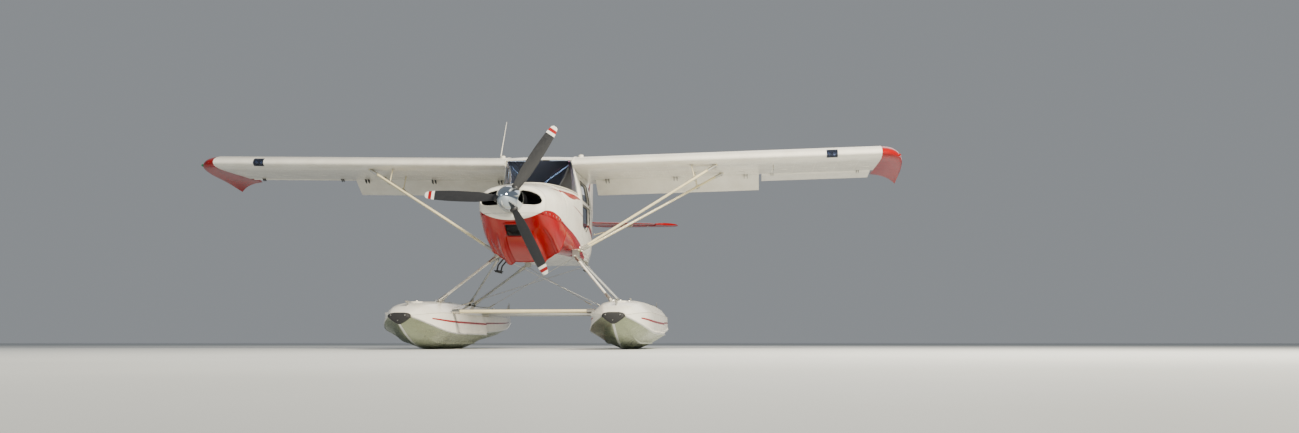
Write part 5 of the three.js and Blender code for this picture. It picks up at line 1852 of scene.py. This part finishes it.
def lower_cowl():
    """Lower cowling with its chin inlet and exit lip; finishes: paint, near-black painted shade in the chin
    duct and on the inner face, mesh
    """
    shape = Shape()
    stations = [COWL_NOSE_Y + 0.967 * t for t in np.linspace(0, 1, 64) ** 1.2]
    stations[-1] = COWL_END_Y
    rows = [lower_row(y) for y in stations]
    chin = rounded(rect((-CHIN_HALF, CHIN_LOW), (CHIN_HALF, CHIN_HIGH)), 0.03)
    shape.sheet(rows, COWL_WALL, 0, 1, skip=lambda p: p[1] < -1.2 and inside((p[0], p[2] + 0.002), chin))
    limit = split_height(COWL_NOSE_Y) - SPLIT_GAP
    front = [[(x * s, COWL_NOSE_Y, min(LOWER_CENTRE_Z + (z - LOWER_CENTRE_Z) * s, limit))
              for x, _, z in rows[0]] for s in (0.5, 0.75, 0.9, 1.0)]
    shape.sheet(front, COWL_WALL, 0, 1)
    lip = [(x, y, z - 0.003) for x, y, z in seen_ahead(chin, 0.02, (0, 0), 1.0, -0.003)]
    shape.tube(lip + lip[:2], 0.012, up=(0, 1, 0))
    # The chin duct's walls are near-black painted shade
    shape.grid([seen_ahead(chin, 0.03, (0, CHIN_Z), share, back - 0.002)
                for back, share in ((0, 1.0), (0.03, 0.96), (0.10, 0.94))], 1, caps=False)
    mesh_y = cowl_depth(0, CHIN_Z) + 0.05
    for x in np.arange(-0.10, 0.101, 0.0125):
        shape.tube([(x, mesh_y, CHIN_LOW), (x, mesh_y, CHIN_HIGH)], 0.0016, 6, 2)
    for z in np.arange(CHIN_LOW + 0.005, CHIN_HIGH, 0.0125):
        shape.tube([(-0.105, mesh_y, z), (0.105, mesh_y, z)], 0.0016, 6, 2)
    shape.tube(rows[-1][::3], 0.005, 8, up=(0, 1, 0))
    return shape


piece("nose_bowl", nose_bowl(), [BODY, SHADE_BLACK], "white_paint", sharp=50)
piece("cowling_upper", upper_cowl(), [BODY, STEEL, SHADE_BLACK], "white_paint")
piece("cowling_lower", lower_cowl(), [BODY, SHADE_BLACK, DARK], "red_paint", sharp=40)


def engine():
    """Crankcase, finned cylinders, sump and exhaust; finishes: cast, dark, scorched"""
    shape = Shape()
    shaft_z = 1.76
    case = [(-0.12, 1.62), (0.12, 1.62), (0.16, 1.70), (0.16, 1.86), (0.10, 1.92), (-0.10, 1.92),
            (-0.16, 1.86), (-0.16, 1.70)]
    sump, mount = rect((-0.19, 1.49), (0.19, 1.61)), rect((-0.17, 1.56), (0.17, 1.86))
    shape.prism(rounded(case, 0.03), -1.50, -0.93, "y")
    shape.prism(rounded(sump, 0.03), -1.40, -0.94, "y")
    shape.prism(rounded(mount, 0.03), -0.94, COWL_END_Y, "y", 1)
    for side, y in product(BOTH, (-1.36, -1.08)):
        out = (side, 0, 0)
        shape.lathe([(0.055, 0.0), (0.055, 0.20)], (side * 0.14, y, shaft_z), out, 20)
        for k in range(12):
            shape.lathe([(0.088, 0), (0.088, 0.004)], (side * (0.165 + 0.0135 * k), y, shaft_z), out, 20)
        shape.lathe([(0.075, 0), (0.072, 0.012), (0.05, 0.018)], (side * 0.33, y, shaft_z), out, 20, 1)
        shape.tube([(side * 0.27, y, 1.69), (side * 0.27, y + 0.02, 1.58), (side * 0.20, y + 0.10, 1.50),
                    (side * 0.15, -0.98, 1.46)], 0.022, 10, 2)
    shape.tube([(0.15, y, z) for y, z in ((-1.01, 1.50), (-0.94, 1.36), (-0.90, 1.24), (-0.85, 1.205),
                                          (-0.72, 1.191), (-0.60, 1.176))], 0.026, 16, 2)
    shape.tube([(0.15, -0.602, 1.1765), (0.15, -0.5995, 1.176)], 0.022, 16, 1)
    return shape


piece("engine", engine(), [CAST, DARK, EXHAUST], "engine_metal")


# Propeller

def spinner():
    """Polished spinner with its back plate; finishes: chrome, steel"""
    shape = Shape()
    length = SPINNER_BASE_Y - SPINNER_TIP_Y
    aft = (0, 1, 0)
    profile = []
    for k in range(25):
        t = (k / 24) ** 1.6
        profile.append((SPINNER_RADIUS * math.sqrt(1 - (1 - t) ** 2) ** 1.15, t * length))
    profile.append((SPINNER_RADIUS, length + 0.003))
    shape.lathe(profile, (0, SPINNER_TIP_Y, PROP_Z), aft, 64)
    edge = SPINNER_RADIUS + 0.001
    shape.lathe([(edge, 0), (edge, 0.008), (0.12, 0.009)], (0, SPINNER_BASE_Y + 0.003, PROP_Z), aft, 64, 1)
    shape.lathe([(0.046, 0), (0.046, 0.22)], (0, SPINNER_BASE_Y, PROP_Z), aft, 24, 1)
    for a in turns(12, 0.5):
        out = np.array((math.cos(a), 0, math.sin(a)))
        spot = (0, SPINNER_BASE_Y - 0.012, PROP_Z) + out * (SPINNER_RADIUS - 0.0005)
        shape.stud(spot, out, 0.005, 0.002, 1)
    return shape


# Radius, chord, thickness and pitch in degrees of a blade
BLADE_ROWS = smooth([
    (0.12, 0.084, 0.056, 48), (0.20, 0.112, 0.036, 42), (0.40, 0.152, 0.022, 31), (0.65, 0.146, 0.015, 23),
    (0.88, 0.122, 0.010, 18), (0.985, 0.092, 0.008, 16), (1.010, 0.074, 0.007, 15.4),
    (PROP_RADIUS, 0.040, 0.005, 15),
])
BLADE_ANGLES = (57, 177, 297)
BLADE_SECTION = [
    (-0.5, 0.0), (-0.485, 0.16), (-0.42, 0.32), (-0.3, 0.44), (-0.12, 0.5), (0.08, 0.46), (0.28, 0.3),
    (0.5, 0.05), (0.5, -0.05), (0.28, -0.14), (0.05, -0.2), (-0.15, -0.24), (-0.32, -0.25), (-0.42, -0.2),
    (-0.485, -0.1),
]


def blade(angle):
    """One blade at an angle round the shaft; finishes: paint, dark cuff"""
    shape = Shape()
    c, s = math.cos(math.radians(angle)), math.sin(math.radians(angle))
    rings = []
    for radius in np.concatenate([np.linspace(0.12, 0.98, 30), np.linspace(0.985, PROP_RADIUS, 7)]):
        chord, thickness, pitch = BLADE_ROWS(radius)
        turn, rise = math.cos(math.radians(pitch)), math.sin(math.radians(pitch))
        ring = []
        for a, b in BLADE_SECTION:
            across = a * chord * turn - b * thickness * rise
            ahead = a * chord * rise + b * thickness * turn
            ring.append((radius * c - across * s, PROP_Y - ahead, PROP_Z + radius * s + across * c))
        rings.append(ring)
    shape.grid(rings)
    cuff = [(0.052, 0.135), (0.052, 0.150), (0.047, 0.168), (0.043, 0.172)]
    shape.lathe(cuff, (0, PROP_Y, PROP_Z), (c, 0, s), 28, 1)
    return shape


piece("spinner", spinner(), [CHROME, STEEL], "polished_metal", "propeller")
for number, angle in enumerate(BLADE_ANGLES, 1):
    piece(f"propeller_blade_{number}", blade(angle), [BLADE, DARK], "blade_paint", "propeller", sharp=40)


# Cabin inside

# Pads: grid size, cloth pressure and frames, most swelling, draw-in of the sides, size of the sewn channels
PAD_VOXEL = 0.010
PAD_PRESSURE = 4.0
PAD_FRAMES = 20
PAD_SWELL = 0.008
PAD_WAIST = 0.007
CHANNEL_DEPTH = 0.011
CHANNEL_WIDTH = 0.007
SEAT_LEAN = math.radians(72.5)
CUSHION_DEPTH = 0.41
CUSHION_THICKNESS = 0.110
BACK_THICKNESS = 0.085
# The lower rear edge of a seat's back, aft of the cushion's front edge and above its underside
BACK_FOOT = (0.501, 0.09)
# Each seat's sides, front edge, underside of its cushion, height of its back and sewn channels
SEATS = {
    "front_seat_left": (0.05, 0.43, 0.345, 1.445, 0.52, 4),
    "front_seat_right": (-0.43, -0.05, 0.345, 1.445, 0.52, 4),
    "rear_seat": (-0.36, 0.36, 1.335, 1.425, 0.49, 8),
}


def pad_form(size):
    """Plain block with rounded edges, drawn from a corner at the origin, that a pad is blown up from"""
    shape = Shape()
    rings = []
    for t in np.linspace(0, 1, 17):
        inset = 1 - 0.16 * abs(2 * t - 1) ** 8
        ring = []
        for a in turns(32):
            u, v = (math.copysign(abs(c) ** 0.35, c) * inset for c in (math.cos(a), math.sin(a)))
            ring.append((size[0] * t, size[1] * (0.5 + 0.5 * u), size[2] * (0.5 + 0.5 * v)))
        rings.append(ring)
    shape.grid(rings)
    return shape


def evaluated(obj):
    """The object's mesh with its modifiers applied"""
    return bpy.data.meshes.new_from_object(obj.evaluated_get(bpy.context.evaluated_depsgraph_get()))


def blown_up(shape):
    """The closed shape remeshed evenly, swollen by cloth under pressure and smoothed once"""
    pad = linked("pad", outward_mesh("pad", shape.points, shape.faces))
    voxels = pad.modifiers.new("Remesh", "REMESH")
    voxels.mode = "VOXEL"
    voxels.voxel_size = PAD_VOXEL
    even = evaluated(pad)
    pad.modifiers.clear()
    pad.data = even
    cloth = pad.modifiers.new("Cloth", "CLOTH")
    cloth.settings.use_pressure = True
    cloth.settings.uniform_pressure_force = PAD_PRESSURE
    cloth.settings.effector_weights.gravity = 0.0
    cloth.collision_settings.use_collision = False
    for number in range(1, PAD_FRAMES + 1):
        bpy.context.scene.frame_set(number)
    for vertex, swollen in zip(even.vertices, evaluated(pad).vertices):
        shift = swollen.co - vertex.co
        if shift.length > PAD_SWELL:
            shift *= PAD_SWELL / shift.length
        vertex.co += shift
    pad.modifiers.clear()
    bpy.context.scene.frame_set(1)
    finer = pad.modifiers.new("Subdivision", "SUBSURF")
    finer.levels = 1
    done = evaluated(pad)
    result = Shape()
    result.add([tuple(v.co) for v in done.vertices], [list(f.vertices) for f in done.polygons])
    bpy.data.objects.remove(pad)
    return result


def sewn(shape, size, channels, crown):
    """The pad with a crowned face, sewn channels along it and sides drawn in between its corners"""
    points = []
    seams = [(k + 1) * size[0] / channels for k in range(channels - 1)]
    for x, y, z in shape.points:
        u, v = 2 * x / size[0] - 1, 2 * y / size[1] - 1
        groove = sum(math.exp(-((x - seam) / CHANNEL_WIDTH) ** 2) for seam in seams)
        inner = ease((1 + v) / 0.24) * ease((1 - v) / 0.24)
        lift = crown * (1 - u ** 4) * (1 - v ** 4) - CHANNEL_DEPTH * groove * inner
        points.append((x - PAD_WAIST * u * (1 - v * v), y - PAD_WAIST * v * (1 - u * u),
                       z + ease((z / size[2] - 0.45) / 0.3) * lift))
    shape.points = points
    return shape


def seat_frame(x0, x1, y0, z0, height):
    """Legs, floor rails, back frame and belt halves; finishes: steel, webbing"""
    shape = Shape()
    foot = (y0 + BACK_FOOT[0] + 0.012, z0 + BACK_FOOT[1])
    top = (foot[0] + height * math.cos(SEAT_LEAN), foot[1] + height * math.sin(SEAT_LEAN))
    rails = (x0 + 0.03, x1 - 0.03)
    for x in rails:
        for y in (y0 + 0.05, y0 + 0.36):
            shape.tube([(x, y, FLOOR_Z + 0.005), (x, y, z0 - 0.01)], 0.012, 8)
        shape.tube([(x, y0 + 0.02, FLOOR_Z + 0.01), (x, y0 + 0.43, FLOOR_Z + 0.01)], 0.010, 8)
        side = ((y0 + 0.02, z0 - 0.012), (foot[0] - 0.05, z0 - 0.012), (foot[0] - 0.01, z0 + 0.01), foot, top)
        shape.tube([(x, *at) for at in side], 0.010, 8)
    shape.tube([(x, *top) for x in rails], 0.010, 8)
    belt = ((0.16, 0.130), (0.24, 0.134), (0.32, 0.134), (0.385, 0.128), (0.41, 0.112))
    for dx in (-0.13, 0.13):
        x = (x0 + x1) / 2 + dx
        shape.sheet([[(x - 0.022, y0 + y, z0 + z), (x + 0.022, y0 + y, z0 + z)] for y, z in belt], 0.002, 1)
        shape.box((x - 0.027, y0 + 0.135, z0 + 0.126), (x + 0.027, y0 + 0.17, z0 + 0.138))
    return shape


def seated(shape, place):
    """The pad carried to its seat"""
    carried = Shape()
    carried.add([place(*p) for p in shape.points], shape.faces)
    return carried


def seats():
    """Each seat as a frame, a cushion and a back"""
    rise, lean = math.sin(SEAT_LEAN), math.cos(SEAT_LEAN)
    made = {}
    for node, (x0, x1, y0, z0, height, channels) in SEATS.items():
        width = x1 - x0
        if width not in made:
            low, tall = (width, CUSHION_DEPTH, CUSHION_THICKNESS), (width, height, BACK_THICKNESS)
            made[width] = (sewn(blown_up(pad_form(low)), low, channels, 0.014),
                           sewn(blown_up(pad_form(tall)), tall, channels, 0.010))
        cushion, back = made[width]
        foot = (y0 + BACK_FOOT[0], z0 + BACK_FOOT[1])
        piece(f"{node}_frame", seat_frame(x0, x1, y0, z0, height), [STEEL, WEBBING], "float_metal",
              replaces=(node,))
        pads = {"cushion": seated(cushion, lambda x, y, z: (x0 + x, y0 + y, z0 + z)),
                "back": seated(back, lambda x, y, z: (x0 + x, foot[0] + y * lean - z * rise,
                                                      foot[1] + y * rise + z * lean))}
        for part, shape in pads.items():
            pad = piece(f"{node}_{part}", shape, HIDE, "seat_leather", replaces=(node,), sharp=80)


seats()


def floor():
    """Belly skin, cabin floor and strut lugs; finishes: body paint, carpet, steel"""
    shape = Shape()
    edge = [(0.505 - WALL_PLAN(y), y) for y in (FRONT_END_Y + GAP, 0.7, 1.2, 1.7, CABIN_END_Y)]
    outline = edge + [(-x, y) for x, y in edge[::-1]]
    shape.prism(outline, BELLY_Z, FLOOR_Z - 0.006, "z")
    inner = [(x * 0.93, y + (0.01 if y < 1 else -0.01)) for x, y in outline]
    shape.prism(inner, FLOOR_Z - 0.007, FLOOR_Z, "z", 1)
    lug = rounded(rect((1.435, 1.205), (1.565, 1.27)), 0.015)
    down = (0, 0, -1)
    for side in BOTH:
        shape.prism(lug, *sorted((side * 0.392, side * 0.466)), finish=2)
        for y in (1.47, 1.53):
            shape.bolt((side * 0.466, y, 1.235), (side, 0, 0), 0.009, 2)
        for y in np.arange(0.3, 2.1, 0.04):
            shape.stud((side * (0.49 - WALL_PLAN(y)), y, BELLY_Z), down)
    for y in (0.6, 1.05, 1.5, 1.95):
        width = 0.47 - WALL_PLAN(y)
        for x in np.arange(-width, width, 0.04):
            shape.stud((x, y, BELLY_Z), down)
    return shape


piece("cabin_floor", floor(), [BODY, CARPET, STEEL], "grey_paint")


BOARD_Y = -0.165


def instrument_panel():
    """Panel with dials, controls and hood; finishes: black, face, mark, lining, steel"""
    shape = Shape()
    aft = (0, 1, 0)
    half = 0.405
    shape.prism(rounded(rect((-half, 1.70), (half, 2.03)), 0.03), -0.190, BOARD_Y, "y")
    hood = [[(x, y, z + 0.012 * (1 - (x / 0.41) ** 2)) for x in np.linspace(-half, half, 13)]
            for y, z in ((-0.42, 2.050), (-0.30, 2.052), (-0.20, 2.050), (BOARD_Y, 2.042))]
    shape.sheet(hood, 0.014, 3)
    dials = [(x, z, 0.041) for z, x in product((1.95, 1.85), (-0.31, -0.215, -0.12))]
    dials += [(x, 1.94, 0.030) for x in (0.08, 0.155, 0.23, 0.305)]
    dials += [(x, 1.86, 0.022) for x in (0.1, 0.16)]
    for x, z, radius in dials:
        at = np.array((x, BOARD_Y, z))
        face = radius * 0.84
        shape.lathe([(radius, 0), (radius, 0.006), (radius * 0.86, 0.007), (face, 0.003)], at, aft, 28)
        shape.lathe([(face, 0.002), (face, 0.0035)], at, aft, 28, 1)
        for a in turns(12):
            spot = at + np.array((math.cos(a), 0, math.sin(a))) * radius * 0.70
            shape.box(spot + (-0.0012, 0.0034, -0.0012), spot + (0.0012, 0.0042, 0.0012), 2)
        angle = 0.6 + x * 9 + z * 5
        needle = np.array((math.cos(angle), 0, math.sin(angle))) * radius * 0.6
        shape.tube([at + (0, 0.0045, 0), at + needle + (0, 0.0045, 0)], 0.0014, 6, 2)
    for x, low in ((0.10, 1.76), (0.32, 1.765)):
        shape.box((x - 0.09, -0.166, low), (x + 0.06, -0.158, 1.825), 1)
    for x in (-0.03, 0.01, 0.05):
        shape.tube([(x, BOARD_Y, 1.75), (x, -0.10, 1.748)], 0.005, 8, 4)
        shape.lathe([(0.014, 0), (0.016, 0.01), (0.010, 0.018)], (x, -0.10, 1.748), aft, 16)
    wheel_z = 1.80
    for x in (0.22, -0.22):
        shape.tube([(x, BOARD_Y, wheel_z), (x, 0.02, wheel_z)], 0.011, 10, 4)
        grip = [(x + 0.13 * math.cos(a), 0.025, wheel_z + 0.10 * math.sin(a))
                for a in np.linspace(math.radians(215), math.radians(-35), 16)]
        for path in (grip, [(x - 0.075, 0.024, wheel_z), (x + 0.075, 0.024, wheel_z)]):
            shape.tube(path, 0.012, up=aft)
        for pedal in (x - 0.07, x + 0.07):
            shape.box((pedal - 0.035, -0.42, 1.40), (pedal + 0.035, -0.405, 1.46), 4)
            shape.tube([(pedal, -0.41, 1.43), (pedal, -0.40, 1.315)], 0.008, 8, 4)
    return shape


piece("instrument_panel", instrument_panel(), [DARK, FACE, MARK, LINING, STEEL], "panel_black")


# Fittings outside

aerial = Shape()
aerial.tube([(-0.5999, 0.302, 2.624), (-0.590, 0.445, 2.925), (-0.580, 0.590, 3.225)], [0.008, 0.0055, 0.003])
aerial.lathe([(0.028, -0.012), (0.026, 0.004), (0.014, 0.016), (0.010, 0.03)], (-0.6, 0.30, 2.618), (0, 0, 1),
             18, 1)
piece("aerial", aerial, [WHITE, DARK], "white_paint")


def rigging():
    """Float bracing rods with their adjusters"""
    shape = Shape()
    rods = (((0.50, 0.03, 1.23), (-0.93, 0.74, 0.52)), ((0.44, 1.50, 1.21), (-0.93, -0.84, 0.52)))
    for (start, end), side in product(rods, BOTH):
        ends = [part_way(start, end, share) * (side, 1, 1) for share in (0, 1, 0.86, 0.93)]
        shape.tube(ends[:2], 0.0032, 8)
        shape.tube(ends[2:], 0.009)
    return shape


def boarding_step():
    """Step bracket under the side of the cabin; finishes: black, rubber"""
    shape = Shape()
    bar_x, bar_z = 0.62, 1.06
    for y in (0.28, 0.52):
        shape.tube([(0.50, y, 1.27), (0.60, y, 1.15), (bar_x, y, bar_z)], 0.011)
    shape.tube([(bar_x, y, bar_z) for y in (0.22, 0.58)], 0.012)
    shape.box((0.585, 0.26, 1.068), (0.655, 0.54, 1.078), 1)
    return shape


pitot = Shape()
pitot.tube([(3.2, 0.30, 2.50), (3.2, 0.28, 2.42), (3.2, 0.22, 2.405), (3.2, 0.02, 2.405)], 0.008, 12)
piece("float_bracing_rods", rigging(), STEEL, "float_metal")
pair("boarding_step", boarding_step(), [DARK, RUBBER], "panel_black")
piece("pitot_tube", pitot, STEEL, "float_metal")


# Floor, light and camera

def stage_floor():
    bpy.ops.mesh.primitive_plane_add(size=400, location=(0, 0, 0))
    ground = bpy.context.object
    ground.name = "studio_floor"
    tree = Tree("studio floor")
    shade = tree.mix(tree.patches(0.6, 3.0, 0.3, 0.7), (0.58, 0.60, 0.60), (0.62, 0.64, 0.64))
    ground.data.materials.append(tree.set(Base_Color=shade, Roughness=0.55))


def area_light(name, place, aim, size, power, colour):
    data = bpy.data.lights.new(name, "AREA")
    data.shape = "RECTANGLE"
    data.size, data.size_y = size
    data.energy = power
    data.color = colour
    light = linked(name, data)
    light.location = place
    light.rotation_euler = (Vector(aim) - Vector(place)).to_track_quat("-Z", "Y").to_euler()


stage_floor()
area_light("key", (9, -10, 9), (0, -1, 1.8), (5, 5), 5600, (1.0, 0.92, 0.76))
area_light("fill", (-13, -9, 5), (0, -1, 1.5), (9, 6), 330, (0.84, 0.91, 1.0))
area_light("rim", (3, 13, 9), (0, 0, 2), (15, 9), 520, (1.0, 0.98, 0.94))

world = bpy.data.worlds.new("studio")
bpy.context.scene.world = world
world.use_nodes = True
backdrop = world.node_tree.nodes["Background"]
backdrop.inputs["Color"].default_value = (0.80, 0.85, 0.90, 1)
backdrop.inputs["Strength"].default_value = 0.33

# The photograph's size in pixels, the camera's place and lens, and the pixel where the aim point stands:
# the wing's leading edge over the cabin
FRAME_WIDTH = 1299
FRAME_HEIGHT = 433
VIEW_AZIMUTH = math.radians(11)
VIEW_DISTANCE = 15.0
CAMERA_HEIGHT = 0.08
VIEW_LENS = 30.6
SENSOR_WIDTH = 36
AIM_PIXEL = (537, 160)
AIM_POINT = Vector((0.0, AFT_SHIFT, WING_Z + 0.06))


def camera():
    """Camera at floor level, turned so that the aim point falls on its pixel"""
    data = bpy.data.cameras.new("camera")
    data.lens = VIEW_LENS
    data.sensor_width = SENSOR_WIDTH
    data.clip_end = 600
    eye = linked("camera", data)
    eye.location = (AIM_POINT.x + VIEW_DISTANCE * math.sin(VIEW_AZIMUTH),
                    AIM_POINT.y - VIEW_DISTANCE * math.cos(VIEW_AZIMUTH), CAMERA_HEIGHT)
    focal = VIEW_LENS / SENSOR_WIDTH * FRAME_WIDTH
    ahead = AIM_POINT - Vector(eye.location)
    level = math.hypot(ahead.x, ahead.y)
    pitch = math.atan2(ahead.z, level) - math.atan((FRAME_HEIGHT / 2 - AIM_PIXEL[1]) / focal)
    heading = math.atan2(ahead.x, ahead.y) - math.atan((AIM_PIXEL[0] - FRAME_WIDTH / 2) / focal)
    eye.rotation_euler = (math.pi / 2 + pitch, 0, -heading)
    bpy.context.scene.camera = eye


camera()
